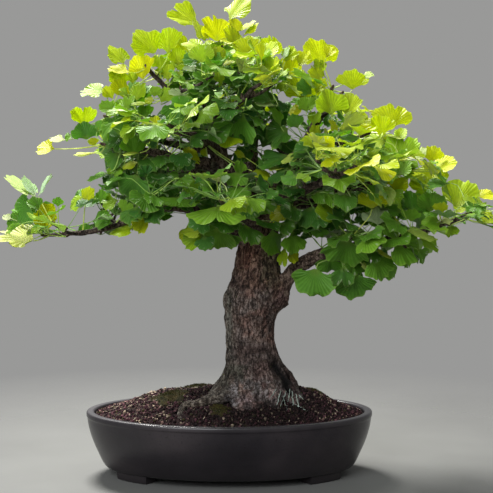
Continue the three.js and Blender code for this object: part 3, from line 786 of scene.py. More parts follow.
def branch_skin():
    """Limbs and twigs as tubes with cracked bark that gets finer as they thin."""
    skin = Skin()
    for number, branch in enumerate([*limb_branches, *(t for own in twig_branches for t in own)]):
        sides = int(min(max(branch.radii[0] * 2.4, 8), 24))
        knots = np.array([noise.noise(Vector((s / 9, 5.3 * number, 1))) for s in branch.run])
        thick = branch.radii * (1 + 0.14 * knots)
        thick = thick * (1 + 0.35 * (1 - smoothstep(branch.run, 0, 10)))
        points, faces = tube(branch.points, thick, sides)
        out = unit(points - np.repeat(branch.points, sides, axis=0))
        depth = np.zeros(len(points))
        for i in range(len(points)):
            angle = 2 * math.pi * (i % sides) / sides
            run = branch.run[i // sides]
            place = bark_place(math.cos(angle), math.sin(angle), branch.radii[0], run)
            depth[i] = crack(place + Vector((0, 0, 17.3 * number)))
        slim = smoothstep(np.repeat(branch.radii, sides), 1, 8)
        points = points - out * (depth * lerp(0.25, 1.5, slim))[:, None]
        tint = lerp(np.array([0.62, 0.6, 0.55]), np.array([1.0, 0.9, 0.82]), slim[:, None])
        skin.add(points, faces, tint, joined(depth, depth, depth))
    return skin


def bark_material():
    """Grey-brown plates with dark cracks between them, finely grained along the wood."""
    bark = Material("bark", Roughness=0.88, Specular_IOR_Level=0.25)
    depth, _, _ = bark.place()
    grain = bark.noise(420, 6, (1, 1, 0.55), 0.6)
    streaks = bark.noise(330, 4, (1, 1, 0.13), 0.3)
    specks = bark.noise(880, 3)
    cracks = bark.levels(depth, 0, 1, 0, 0.6)
    lines = bark.math("ADD", bark.levels(streaks, 0.36, 0.64, -0.1, 0.2), cracks)
    darkness = bark.math("ADD", bark.levels(grain, 0.34, 0.66, -0.3, 0.5), lines)
    plates = bark.ramp(
        darkness,
        (0.0, linear(132, 119, 112)),
        (0.25, linear(96, 83, 76)),
        (0.55, linear(60, 49, 43)),
        (1.0, linear(22, 16, 14)),
    )
    pitted = bark.mix(bark.levels(specks, 0.44, 0.32, 0, 0.85), plates, linear(22, 16, 14))
    speckled = bark.mix(bark.levels(specks, 0.57, 0.7, 0, 0.5), pitted, linear(146, 138, 134))
    bark.link(bark.mix(1.0, speckled, bark.tint(), "MULTIPLY"), "Base Color")
    bark.link(bark.bump(grain, 1.3, 0.9, bark.bump(specks, 0.8, 0.7)), "Normal")
    return bark.made


# ---- Leaves ----
FAN_SHAPES = 12
FINE_FAN = (6, 32)  # rows and columns of a blade that stands out in the photo
PLAIN_FAN = (3, 20)
BLADE_THICKNESS = 0.4
STALK_SIDES = 4
BUD_SIDES = 7
VEIN_RATE = 52.0
CLOSE_MISS = 0.5  # a cluster is found again when its box fits this well
# Where the sequences of numbers start for blade shapes, leaves of the photo, CAD leaves, tips and spurs.
FAN_SEED, SHOWN_SEED, CAD_SEED, TIP_SEED, SPUR_SEED = 300, 900, 77, 5000, 20000


class Fan:
    """One shape of blade, as long as a leaf of size 1: X across, Y along its middle, Z its upper side."""

    def __init__(self, seed, rows, columns):
        draw = Draws(seed)
        spread = math.radians(draw(50, 80))
        notch, notch_width, notch_place = max(0, draw(-0.2, 0.32)), draw(0.03, 0.06), draw(-0.12, 0.12)
        waves = [
            (draw(*rates), draw(0, 6), size)
            for rates, size in (((3, 5), 0.04), ((9, 12), 0.033), ((15, 19), 0.024))
        ]
        ripple, ripple_start, cup = draw(1.8, 3.6), draw(0, 6), draw(-2, 3.5)
        even = np.linspace(-1, 1, columns + 1)[None]
        side = even * (1.3 - 0.3 * even**2)  # the columns lie closer together at the corners
        out = np.linspace(0.03, 1, rows + 1)[:, None] ** 0.9
        edge = 0.52 + 0.48 * np.sqrt(1 - np.abs(side) ** 5)
        edge = edge - notch * np.exp(-(((side - notch_place) / notch_width) ** 2))
        edge = edge + sum(size * np.sin(rate * side * math.pi / 2 + start) for rate, start, size in waves)
        reach = LEAF_LENGTH * out * lerp(1, edge, out**1.5)
        angle = side * spread * (0.72 + 0.28 * out)
        x, y = reach * np.sin(angle), reach * np.cos(angle)
        z = 2.4 * out**2.5 * np.sin(ripple * side * math.pi + ripple_start) + cup * (x / 20) ** 2
        z = z + 0.9 * out**4 * np.sin(waves[1][0] * side * math.pi / 2)
        half = BLADE_THICKNESS / 2 * lerp(1.0, 0.55, out) + 0 * side
        self.points = np.concatenate([joined(x, y, z + half), joined(x, y, z - half)]).reshape(-1, 3)
        self.length, self.width = y.max(), x.max() - x.min()
        places = joined(side, out, 0).reshape(-1, 3)
        self.places = np.concatenate([places, places + [0, 0, 1]])
        wide, last = columns + 1, rows * (columns + 1)
        middle = rows // 2 * wide
        self.edge = [middle, middle + columns, *range(last, last + wide, 2)]
        starts = [row * wide for row in (1, (rows + 1) // 2, rows)]
        self.rows = [list(range(start, start + wide, columns // 4)) for start in starts]
        self.faces = fan_faces(rows, columns)


def fan_faces(rows, columns):
    """Faces of a blade: upper side, lower side and the rim between them."""
    wide = columns + 1
    below = wide * (rows + 1)
    faces = []
    for corners in grid_faces(rows + 1, wide):
        faces += [corners, [k + below for k in reversed(corners)]]
    rim = [*range(wide), *range(2 * wide - 1, below, wide)]
    rim += [*range(below - 2, below - wide - 1, -1), *range(below - 2 * wide, 0, -wide)]
    return faces + [[b, a, a + below, b + below] for a, b in zip(rim, rim[1:] + rim[:1])]


plain_fans, fine_fans = (
    [Fan(FAN_SEED + 7 * i, *grid) for i in range(FAN_SHAPES)] for grid in (PLAIN_FAN, FINE_FAN)
)


class Leaf:
    """A stalk from base to end, and a blade whose middle, upper side and size are given."""

    def __init__(self, base, end, middle, face, size, draw, fan=None, tone=None):
        self.base, self.end, self.middle, self.face, self.size = base, end, middle, face, size
        self.fan = fan or plain_fans[int(draw(0, FAN_SHAPES))]
        self.curl = draw(0.0, 0.5) * (1 if tone is None else 0.4)
        self.fold = draw(-0.05, 0.22)
        self.shade = draw()
        self.hue = draw()
        self.tone = tone
        self.relief = 1.0  # share of the fan's waves that this blade has

    def blade(self, points):
        """Points of a fan in the tree's own frame, with the blade curled back and folded."""
        x, y, z = points.T
        z = self.relief * (z - self.curl * y**2 / LEAF_LENGTH + self.fold * np.abs(x))
        side = self.middle.cross(self.face)
        axes = np.array([side, self.middle, self.face])
        return np.array(self.end) + self.size * np.stack([x, y, z], axis=1) @ axes

    def stalk(self, count=5):
        """Points along the stalk, which leaves its bud straight and turns into the blade."""
        length = (self.end - self.base).length
        leave = self.base + (self.end - self.base) * 0.45 + Vector((0, 0, -0.05)) * length
        arrive = self.end - self.middle * length * 0.3
        t = np.linspace(0, 1, count)[:, None]
        shares = ((1 - t) ** 3, 3 * t * (1 - t) ** 2, 3 * t * t * (1 - t), t**3)
        points = [np.array(p) for p in (self.base, leave, arrive, self.end)]
        return sum(share * point for share, point in zip(shares, points))

    def edge(self):
        """Points round the edge of the blade."""
        return self.blade(self.fan.points[self.fan.edge])

    def outline(self):
        """A coarse double of the leaf for finding out what it touches."""
        rows = self.fan.rows
        blade = self.blade(self.fan.points[[i for row in rows for i in row]])
        line = self.stalk()[1:]
        beside = line + np.array(self.middle.cross(self.face)) * STALK_RADIUS
        faces = grid_faces(len(rows), len(rows[0])) + grid_faces(2, len(line), len(blade))
        return BVHTree.FromPolygons(np.concatenate([blade, line, beside]).tolist(), faces)


def whorl(draw, base, axis, hang, count=3, droops=(0.3, 0.8), stalks=STALK_LENGTHS):
    """Leaves round one bud, placed as in the CAD model. They open to the light, or hang where hang is 1."""
    first, second = across(axis)
    turn = draw(0, 2 * math.pi)
    leaves = []
    for j in range(count):
        angle = turn + 2 * math.pi * (j + 0.5 * draw()) / count
        spread, stalk = draw(0.6, 1.15), draw(*stalks) * (1 - 0.4 * hang)
        size, droop, tilt = draw(0.82, 1.08), draw(*droops) + hang, draw(-0.6, 0.6)
        beside = first * math.cos(angle) + second * math.sin(angle)
        out = axis * math.cos(spread) + beside * math.sin(spread)
        out.z = lerp(out.z, lerp(0.35, -0.5, hang), 0.45)
        out.normalize()
        middle = (out - UP * droop).normalized()
        light = Vector((out.x * 0.7, out.y * 0.7 - 0.3 - hang, 0.9))
        face = (light - middle * light.dot(middle)).normalized()
        face.rotate(Quaternion(middle, tilt))
        leaves.append((base, base + out * stalk, middle, face, size))
    return leaves


def cad_extent(leaves, foot):
    """Lowest and highest corner of a CAD leaf cluster, but for the width of its bud."""
    corners = [foot]
    for _, end, middle, face, size in leaves:
        side = middle.cross(face)
        for along, half in ((0, STALK_RADIUS), (0.42, 20.5 * size), (0.97, 10.25 * size)):
            place = end + middle * along * LEAF_LENGTH * size
            corners += [place + side * half, place - side * half]
            corners += [place + face * STALK_RADIUS, place - face * STALK_RADIUS]
    spots = np.array(corners)
    return spots.min(axis=0), spots.max(axis=0)


def cluster_leaves(name, seed, tip, axis, hang):
    """The three leaves of a CAD cluster, found again by the size of the cluster's box."""
    low, high = (np.array(corner) / MM - POT_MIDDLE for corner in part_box(name))
    foot = tip + axis * GAP
    base = foot + axis * BUD_LENGTH * 0.7
    best, best_miss = None, 1e9
    for number in range(MOST_DRAWS):
        leaves = whorl(Draws(seed + number), base, axis, hang)
        found_low, found_high = cad_extent(leaves, foot)
        miss = np.abs(found_low - low).max() + np.abs(found_high - high).max()
        if miss < best_miss:
            best, best_miss = leaves, miss
        if miss < CLOSE_MISS:
            break
    return best, best_miss


# ---- Crown ----
SPUR_SPACING = 13
SPUR_RADII = (2.0, 1.3)
SPUR_LEAVES = 5
TIP_LEAVES = 4
TRIES = 7
TIP_TRIES = 25
# Dark, green, lime and pale leaf colours; the tones the leaves get among them are partly painted shade and
# painted light.
LEAF_TONES = [linear(80, 133, 52), linear(144, 200, 66), linear(240, 244, 22), linear(228, 240, 204)]
STALK_GREEN = linear(190, 212, 120)
CROWN_MIDDLE = Vector((8, 0, 290))
CROWN_REACH = Vector((262, 185, 215))

# Upper and lower edge of the crown as the photo shows it: pixels from its left and its top.
CROWN_TOP = [
    (0, 224), (12, 208), (36, 199), (60, 192), (90, 162), (100, 118), (112, 104), (125, 76), (140, 62),
    (160, 55), (200, 44), (222, 33), (240, 33), (262, 42), (300, 72), (320, 82), (360, 105), (400, 130),
    (404, 146), (420, 152), (440, 165), (465, 194), (493, 208),
]
CROWN_BOTTOM = [
    (0, 244), (40, 237), (100, 234), (125, 234), (140, 231), (150, 224), (180, 221), (184, 245),
    (225, 248), (282, 262), (294, 290), (335, 294), (370, 292), (376, 272), (397, 284), (402, 262),
    (425, 263), (440, 238), (470, 221), (493, 226),
]
# Where the photo shows the wall through the crown: pixels and radius.
CROWN_GAPS = [
    (306, 249, 7), (316, 243, 7), (284, 262, 4), (84, 215, 8), (64, 218, 6), (52, 186, 12), (66, 190, 7),
    (95, 178, 6), (99, 165, 6), (172, 145, 7), (231, 147, 5), (263, 149, 5), (286, 94, 7), (317, 114, 7),
    (295, 132, 7), (154, 109, 5), (165, 99, 5), (68, 160, 8), (68, 220, 5), (180, 217, 6), (338, 60, 6),
    (42, 175, 4), (70, 184, 8),
]
# Wood that shows between the leaves: pixels and depth.
WOOD_SHOWN = [
    (213, 143, -9), (218, 150, -10), (222, 158, -10), (226, 165, -10), (204, 112, -13), (208, 122, -12),
    (186, 148, -30), (256, 196, -20), (278, 186, -20), (252, 150, -12), (176, 211, -36), (218, 99, -26),
    (70, 236, -52), (84, 235, -52), (98, 232, -52), (110, 222, -50), (122, 215, -48), (140, 211, -44),
]

# Leaves that stand out in the photo: pixel of the blade's foot, heading in degrees (0 right, 90 up), length
# and width as they show, tone (0 dark, 1 green, 2 lime, 3 pale) and depth. A length below 0 leans to the
# viewer, and a width below 0 shows the underside. The tones are partly painted light and shade: dark ones
# stand for leaves in shade, and pale ones for glints as well as pale undersides.
SHOWN_LEAVES = [
    # Top of the crown
    (199, 26, 148, 33, 27, 2, -5), (155, 54, 124, 31, 31, 2, -15), (168, 54, 86, 27, 25, 2, -20),
    (216, 42, 133, 20, 8, 2.7, -20), (217, 42, 95, 27, 33, 2, -12), (229, 20, 55, 30, 24, 1.6, -8),
    (243, 36, 42, 20, 9, 1.9, -9), (205, 42, 112, 24, 12, 2.2, -18),
    (236, 48, 105, 24, 15, 2, -16), (238, 32, 33, 21, 8, 2, -6), (247, 56, 85, 19, 30, 2, -26),
    (262, 60, 55, 23, 20, 1.9, -20), (283, 60, 70, 14, 7, 2.8, -15), (203, 48, 165, 22, 15, 2, -22),
    (201, 61, 165, 19, 17, 0.6, -28), (208, 82, 100, 18, 20, 0.6, -26), (220, 66, 20, 16, 8, 1.7, -24),
    (279, 79, 183, 20, 12, 1.8, -30), (262, 77, 100, 18, 11, 1.6, -34), (247, 72, 115, 16, 15, 2.5, -36),
    (238, 86, 110, 20, 26, 0.2, -32), (272, 101, 160, 20, 15, 0.3, -35), (240, 107, 115, 13, 12, 1.6, -45),
    (276, 106, 172, 21, 8, 2.6, -40), (243, 112, 245, 28, 42, 0.9, -60), (228, 136, 265, -10, 28, 1.8, -57),
    (303, 107, 205, 16, 10, 1.9, -30), (281, 127, 115, 22, 11, 0.9, -36), (288, 128, 215, 26, 26, 0.1, -44),
    (186, 57, 112, 23, 20, 1.9, -18), (178, 66, 95, 18, 20, 1.7, -24), (160, 69, 92, 14, 18, 1.6, -26),
    (272, 58, 92, 23, 22, 1.9, -18), (285, 62, 62, 18, 16, 1.8, -16), (306, 112, 80, 16, 17, 1.2, -34),
    (298, 128, 118, 15, 18, 0.5, -40), (313, 126, 75, 15, 12, 1.5, -38), (280, 92, 60, 14, 12, 1.7, -30),
    (236, 34, 98, 17, 13, 2.1, -12), (326, 58, 55, 14, 12, 1.9, 2), (160, 76, 80, 10, 12, 1.7, -20),
    (154, 97, 80, 11, 14, 1.2, -30), (133, 84, 100, 12, 12, 1.6, -28),
    # Left
    (119, 84, 98, 15, 18, 1.7, -22), (137, 101, 84, 19, 20, 1.5, -27), (161, 103, 62, 17, 18, 1.4, -28),
    (97, 132, 62, 13, 12, 0.9, -30), (113, 112, 140, 16, 16, 1.2, -26), (146, 118, 95, 13, 14, 1.1, -30),
    (124, 64, 125, 24, 16, 2, -10), (143, 80, 90, 26, 27, 2, -25), (131, 73, 168, 24, 12, 2, -22),
    (104, 92, 176, 24, 17, 1.3, -15), (125, 99, 108, 21, 15, 2, -30), (113, 99, 125, 15, 14, 1.9, -24),
    (128, 95, 45, 18, 18, 0.9, -20), (155, 101, 170, 11, 8, 1.9, -30), (150, 104, 178, 22, 6, 1.7, -34),
    (168, 81, 85, 18, 13, 1.7, -25), (175, 79, 50, 11, 9, 1.6, -22), (84, 127, 95, 20, 24, 2, -20),
    (87, 140, 100, 19, 26, 0.4, -28), (96, 146, 130, 10, 8, 1.8, -34), (121, 137, 95, 24, 33, 0.3, -30),
    (136, 120, 60, 18, 14, 0.3, -24), (157, 133, 112, 17, 20, 1.9, -35), (134, 157, 95, 22, 26, 1, -55),
    (118, 153, 235, 18, 20, 0.3, -48), (140, 153, 184, 18, 4, 2.2, -56), (183, 95, 160, 15, 9, 2.8, -30),
    (197, 69, 175, 14, 8, 2.8, -30), (176, 100, 265, 26, 26, 0.35, -40), (188, 110, 250, 24, 22, 0.3, -36),
    (196, 104, 100, 16, 14, 0.8, -34), (55, 149, 180, 19, 14, 2, -30), (66, 140, 178, 17, 8, 2.8, -26),
    (71, 134, 225, 9, 8, 0.9, -24), (98, 153, 182, 23, 5, 2.2, -35), (139, 162, 200, 17, 10, 1.8, -50),
    (122, 167, 215, 14, 12, 1.1, -48), (118, 178, 110, 14, 14, 1.2, -46), (110, 172, 198, 24, 7, 0.7, -45),
    # Tip and length of the low left limb
    (36, 197, 143, 36, 5, 2.6, -50), (36, 197, 121, 24, 5, 3, -47), (37, 198, 58, 27, 9, 3, -44),
    (35, 201, 226, 28, 29, 0.4, -55), (39, 200, 286, 28, 17, 1.8, -60), (12, 219, 165, 10, 6, 3, -58),
    (34, 240, 164, 34, 21, 2.4, -52), (33, 241, 178, 22, 9, 2, -47), (58, 207, 88, 10, 12, 0.8, -45),
    (86, 202, 75, 16, 16, 1.9, -40), (83, 195, 228, 20, 13, 1.3, -38), (100, 203, 80, 14, 13, 1, -46),
    (95, 229, 50, 22, 17, 0.7, -52), (86, 234, 100, 11, 13, 0.6, -50), (122, 214, 60, 14, 16, 1.1, -52),
    (134, 227, 192, 25, 12, 1.6, -55), (147, 214, 237, 21, 20, 1.5, -55), (118, 200, 200, 17, 16, 1.1, -50),
    # Front of the middle
    (183, 146, 315, 24, 9, 1.8, -40), (207, 157, 120, 9, 6, 1.8, -36), (246, 158, 150, 13, 8, 1.8, -30),
    (252, 171, 340, 21, 10, 1.7, -45), (286, 168, 182, 20, 4, 2.3, -44), (282, 158, 195, 26, 14, 0.3, -40),
    (298, 156, 200, 18, 8, 2.3, -46), (262, 148, 60, 30, 24, 0.15, -36), (288, 155, 195, 26, 18, 0.2, -38),
    (221, 182, 40, 10, 7, 2.8, -72), (221, 182, 155, 11, 5, 2.8, -72), (240, 176, 95, 16, 12, 1, -56),
    (236, 172, 270, -13, 30, 0.6, -62), (237, 185, 270, -11, 28, 0.7, -66), (214, 180, 212, 27, 22, 0.8, -63),
    (182, 179, 320, 22, 13, 1.1, -66), (180, 178, 165, 14, 10, 0.9, -60), (161, 174, 262, 26, 40, 0.3, -60),
    (137, 174, 252, 25, 34, 0.25, -55), (179, 197, 266, -9, 43, 1, -65), (217, 206, 268, -15, 54, 1.1, -70),
    (202, 231, 178, 21, 12, 1.9, -60), (203, 233, 212, 23, 20, 1, -56), (219, 226, 262, 24, 36, 0.4, -58),
    (286, 210, 215, 20, 16, 1.6, -40), (272, 229, 278, 26, 21, 0.5, -42), (293, 231, 272, 23, 25, 0.8, -40),
    (289, 252, 312, 13, 12, 1.7, -30),
    (189, 226, 262, 20, 19, 1.5, -45), (229, 233, 276, 15, 24, 0.4, -50), (331, 257, 268, 17, 32, 0.4, -46),
    (320, 226, 264, 12, 20, 0.6, -50), (285, 246, 262, 20, 9, 1.4, -34),
    # Right
    (398, 138, 60, 12, 12, 1.8, -18), (478, 197, 12, 16, 11, 1.9, -12),
    (411, 222, 85, 13, 20, 0.8, -50), (402, 255, 300, 14, 14, 0.7, -46),
    (290, 79, 95, 21, 26, 2, -15), (299, 67, 62, 19, 18, 2, -8), (321, 65, 94, 28, 38, 2, 0),
    (322, 82, 120, 20, 16, 1.9, -12), (316, 94, 60, 18, 14, 1.9, -16),
    (304, 100, 95, 27, 42, 2, -25), (352, 90, 88, 22, 34, 2, -5), (362, 76, 10, 12, 7, 2.4, -5),
    (331, 115, 98, 26, 32, 1.8, -48), (347, 117, 75, 24, 20, 1.6, -42), (338, 130, 28, 32, -16, 2.8, -30),
    (335, 133, 105, 15, 9, 1.9, -36), (316, 140, 95, 15, 12, 1.7, -40), (327, 139, 100, 11, 6, 2.4, -38),
    (338, 139, 5, 22, 9, 0.4, -34), (392, 128, 84, 26, 42, 2, 0), (382, 137, 95, 23, 27, 2, -12),
    (386, 136, 355, 18, 5, 2.3, -16), (386, 142, 184, 25, 18, 1.7, -22), (399, 162, 75, 27, 32, 1.5, -25),
    (389, 149, 262, 17, 20, 1.5, -35), (350, 160, 338, 24, 13, 1.5, -35), (352, 174, 335, 14, 9, 1.5, -50),
    (326, 165, 190, 28, 24, 0.3, -60), (416, 162, 60, 17, 7, 2.8, -10), (431, 163, 84, 18, 26, 2, -5),
    (436, 168, 30, 22, 16, 2, -8), (431, 186, 92, 22, 40, 2, -20), (451, 183, 185, 28, 9, 0.5, -28),
    (456, 208, 73, 30, 32, 1.7, -15), (456, 213, 50, 12, 9, 1.8, -20), (476, 215, 350, 20, 13, 1.9, -20),
    (480, 198, 22, 14, 7, 1.6, -10), (431, 212, 92, 20, 29, 0.5, -35), (441, 214, 90, 12, 14, 1.6, -42),
    (398, 176, 60, 20, 14, 1.1, -40), (394, 192, 60, 18, 17, 1.9, -45), (372, 209, 90, 17, 42, 2, -75),
    (350, 199, 150, 15, 7, 2.8, -70), (337, 224, 130, 30, 16, 1.3, -65), (378, 225, 90, 16, -29, 3, -68),
    # Low on the right
    (401, 230, 115, 18, 6, 1.8, -50), (405, 230, 345, 32, 9, 2.3, -50), (417, 235, 327, 26, 12, 1.2, -40),
    (441, 223, 178, 19, 17, 1.1, -45), (441, 221, 0, 10, 7, 2.8, -48), (450, 223, 275, 14, 16, 1, -40),
    (394, 240, 322, 31, 36, 0.6, -45), (374, 249, 333, 21, 4, 2.2, -62), (374, 254, 292, 27, 31, 0.6, -55),
    (385, 262, 300, 19, 18, 0.7, -52), (361, 263, 320, 9, 6, 2.4, -58), (348, 238, 262, 27, 48, 0.5, -60),
    (316, 268, 262, 28, 42, 0.35, -50), (353, 272, 275, 28, 44, 0.25, -58), (320, 77, 93, 18, 14, 1.9, -4),
]
FACING = FOCAL / -CAMERA_PLACE.y  # pixels that a millimetre at the trunk takes up in the photo
DEPTH_SHIFTS = (0, 5, -5, 10, -10, 16, -16, 22, -22, 30, -30)  # tried until such a leaf is free of the others
EDGE_SLACK = 1  # pixels by which a leaf may pass the crown's edge
TIP_SLACK = 5  # and a leaf at the tip of a limb or twig
LEAF_REACH = 62  # leaves that start farther apart can't touch
BARE_WOOD = 30  # the first bit of a limb or twig carries no such leaf
SHORT_STALK = 18  # a shorter stalk is no better than this


class Crown:
    """All the leaves so far, and what they may not touch or hide."""

    def __init__(self, wood):
        self.wood = wood
        self.leaves, self.outlines, self.centres, self.groups = [], [], [], []
        self.shown = [seen_at(*spot) for spot in WOOD_SHOWN]

    def add(self, leaf, group):
        self.leaves.append(leaf)
        self.groups.append(group)
        self.outlines.append(leaf.outline())
        self.centres.append(leaf.end)

    def touches(self, leaf):
        """Whether a leaf's coarse double meets the wood or that of another leaf."""
        outline = leaf.outline()
        if outline.overlap(self.wood):
            return True
        if not self.centres:
            return False
        gaps = np.linalg.norm(np.array(self.centres) - np.array(leaf.end), axis=1)
        return any(outline.overlap(self.outlines[i]) for i in np.nonzero(gaps < LEAF_REACH)[0])

    def hides(self, leaf, slack):
        """Whether a leaf stands in front of what the photo shows there, or outside the crown's edge."""
        px, py = pixels(leaf.edge())
        top = np.interp(px, *zip(*CROWN_TOP))
        bottom = np.interp(px, *zip(*CROWN_BOTTOM))
        if (py < top - slack).any() or (py > bottom + slack).any() or (px < 0).any():
            return True
        inner_x, inner_y = (
            np.array([lerp(p, p.mean(), inwards) for inwards in (0, 0.4, 0.8)]) for p in (px, py)
        )
        if any((np.hypot(inner_x - x, inner_y - y) < radius).any() for x, y, radius in CROWN_GAPS):
            return True
        middle = leaf.end + leaf.middle * LEAF_LENGTH * leaf.size / 2
        outline = None
        for spot in self.shown:
            if spot.y < middle.y + 6 or abs(spot.x - middle.x) > 50 or abs(spot.z - middle.z) > 50:
                continue
            outline = outline or leaf.outline()
            way = spot - CAMERA_PLACE
            if outline.ray_cast(CAMERA_PLACE, way.normalized(), way.length - 2)[0]:
                return True
        return False

    def add_if_free(self, leaf, group, slack):
        if self.hides(leaf, slack) or self.touches(leaf):
            return False
        self.add(leaf, group)
        return True


def exposure(point):
    """How far out in the crown a point lies, from 0 deep inside to 1 at its upper or outer edge."""
    off = point - CROWN_MIDDLE
    share = Vector((off.x / CROWN_REACH.x, off.y / CROWN_REACH.y, off.z / CROWN_REACH.z)).length
    return float(smoothstep(share, 0.45, 1.0))


def leaf_tint(leaf):
    """Lime high and far out in the crown, mid green between, dark green inside and low. Partly the leaves'
    own colour, partly painted light and shade: painted shade deep in the crown, painted light on its right
    side and on the lowest leaves.
    """
    tone = leaf.tone
    middle = leaf.end + leaf.middle * LEAF_LENGTH * 0.6
    if tone is None:
        height = smoothstep(middle.z, 250, 430)
        # Painted light and shade: darker deep in the crown, lighter on its right side.
        right = smoothstep(middle.x, 10, 150) * smoothstep(middle.z, 255, 320)
        tone = 2 * (exposure(middle) * lerp(0.5, 1.0, height) + 0.25 * height + 0.55 * (leaf.shade - 0.5))
        tone = min(max(tone + lerp(-0.2, 0.45, right), 0.0), 2.0)
    if tone < 2:
        # Painted light: the lowest leaves are made lighter.
        tone += 0.22 * (1 - smoothstep(middle.z, 240, 320))
    low = min(int(tone), len(LEAF_TONES) - 2)
    tint = lerp(np.array(LEAF_TONES[low]), np.array(LEAF_TONES[low + 1]), tone - low)
    return tint * np.array([lerp(0.86, 1.06, leaf.hue), 1.0, lerp(1.2, 0.8, leaf.hue)])


def shown_pose(fan, heading, length, width):
    """Middle, upper side and size of a blade that looks this long and wide in the photo, and its relief."""
    full_length, full_width = abs(length) / fan.length / FACING, abs(width) / fan.width / FACING
    size = max(full_length, full_width)
    lean = math.copysign(math.acos(full_length / size), -length)
    roll = math.acos(full_width / size)
    heading = math.radians(heading)
    middle = Vector((math.cos(heading), 0, math.sin(heading))) * math.cos(lean)
    middle -= Vector((0, math.sin(lean), 0))
    face = (Vector((0, -1, 0)) + middle * middle.y).normalized()
    up_turn = math.copysign(roll, middle.cross(face).z)
    face.rotate(Quaternion(middle, up_turn if width > 0 else math.pi - up_turn))
    return middle, face, size, lerp(0.1, 1.0, full_width * full_length / size**2)


def add_shown_leaves(crown):
    """The leaves that stand out in the photo, each on a stalk from the wood nearest to it."""
    shoots = []
    for group, limb in enumerate(limb_branches):
        for branch in [limb, *twig_branches[group]]:
            bare = np.searchsorted(branch.run, min(BARE_WOOD, branch.length / 2))
            shoots += [(group, branch, i) for i in range(bare, len(branch.points))]
    places = np.array([branch.points[i] for _, branch, i in shoots])
    for number, (px, py, heading, length, width, tone, depth) in enumerate(SHOWN_LEAVES):
        fan = fine_fans[number % FAN_SHAPES]
        middle, face, size, relief = shown_pose(fan, heading, length, width)
        for shift in DEPTH_SHIFTS:
            end = seen_at(px, py, depth + shift)
            ways = np.array(end) - places
            lengths = np.linalg.norm(ways, axis=1)
            cost = np.maximum(lengths, SHORT_STALK) + 0.5 * (lengths - ways @ np.array(middle))
            group, branch, i = shoots[int(cost.argmin())]
            way = (end - Vector(branch.points[i])).normalized()
            base = Vector(branch.points[i]) + way * branch.radii[i] * 0.5
            leaf = Leaf(base, end, middle, face, size, Draws(SHOWN_SEED + number), fan, tone)
            leaf.relief = relief
            if not crown.touches(leaf):
                break
        crown.add(leaf, group)
        side = middle.cross(leaf.face)
        for along, beside in ((0.3, 0), (0.85, 0), (0.65, 0.45), (0.65, -0.45)):
            crown.shown.append(end + (middle * along + side * beside) * LEAF_LENGTH * size)


def grow(crown, group, base, axis, want, seed, hang=0.0, tries=TRIES, slack=EDGE_SLACK):
    """Adds up to `want` leaves round a bud, each only where it is free. Returns how many it added."""
    rising = max(smoothstep(base.z, 310, 420), 0.8 * exposure(base))
    droops = (lerp(0.2, -0.9, rising), lerp(0.9, 0.3, rising))
    added = 0
    for attempt in range(tries):
        draw = Draws(seed + 31 * attempt)
        for start, end, middle, face, size in whorl(draw, base, axis, hang, max(want, 2), droops, (14, 36)):
            leaf = Leaf(start, end, middle, face, size * draw(0.52, 0.94), draw)
            if added < want and crown.add_if_free(leaf, group, slack):
                added += 1
    return added


def cluster_tips():
    """The tips of limbs and twigs, each with the CAD leaf cluster that grows there."""
    shoots = [(curve, i, i >= len(LIMBS) - HANGING) for i, curve in enumerate(limb_curves)]
    shoots += [(curve, i, False) for i, own in enumerate(twigs_by_limb) for _, curve in own]
    for number, (curve, group, hangs) in enumerate(shoots):
        yield number, f"leaf_cluster_{number + 1:02d}", group, curve.at(1), curve.direction(1), float(hangs)


def add_cad_leaves(crown):
    """The leaves of the CAD clusters, where they are free."""
    for number, name, group, tip, axis, hang in cluster_tips():
        places, miss = cluster_leaves(name, (number + 1) * MOST_DRAWS, tip, axis, hang)
        if miss > BUD_WIDTH:
            raise ValueError(f"{name} isn't found again: it is {miss:.1f} mm off")
        draw = Draws(CAD_SEED + number)
        for *place, size in places:
            for share in (1, 0.8, 0.6):
                if crown.add_if_free(Leaf(*place, size * share, draw), group, TIP_SLACK):
                    break


def spur_places():
    """Places for spurs along the limbs and twigs, the outermost first."""
    spurs = []
    for group in range(len(LIMBS) - HANGING):
        for branch in [limb_branches[group], *twig_branches[group]]:
            bare = 0.3 if branch is limb_branches[group] else 0.25
            reach = np.arange(bare * branch.length, branch.length - 12, SPUR_SPACING)
            spurs += [(group, branch, distance) for distance in reach]
    return sorted(spurs, key=lambda spur: -exposure(spur[1].at(spur[2])[0]))


def grown_crown(wood):
    """All the leaves, and the buds and spurs that they grow from."""
    crown = Crown(wood)
    add_shown_leaves(crown)
    add_cad_leaves(crown)
    buds = []
    for number, _, group, tip, axis, hang in cluster_tips():
        base = tip + axis * BUD_LENGTH * 0.8
        seed = TIP_SEED + 200 * number
        grow(crown, group, base, axis, TIP_LEAVES, seed, hang, TIP_TRIES, TIP_SLACK)
        buds.append((group, tip, axis, 1.0))
    for number, (group, branch, distance) in enumerate(spur_places()):
        point, along, radius = branch.at(distance)
        first, second = across(along)
        turn = number * GOLDEN_ANGLE
        square = first * math.cos(turn) + second * math.sin(turn)
        axis = (square + 0.35 * along + 0.45 * UP).normalized()
        foot = point + axis * radius * 0.6
        seed = SPUR_SEED + 300 * number
        if grow(crown, group, foot + axis * BUD_LENGTH, axis, SPUR_LEAVES, seed):
            buds.append((group, foot, axis, 0.9))
    return crown, buds


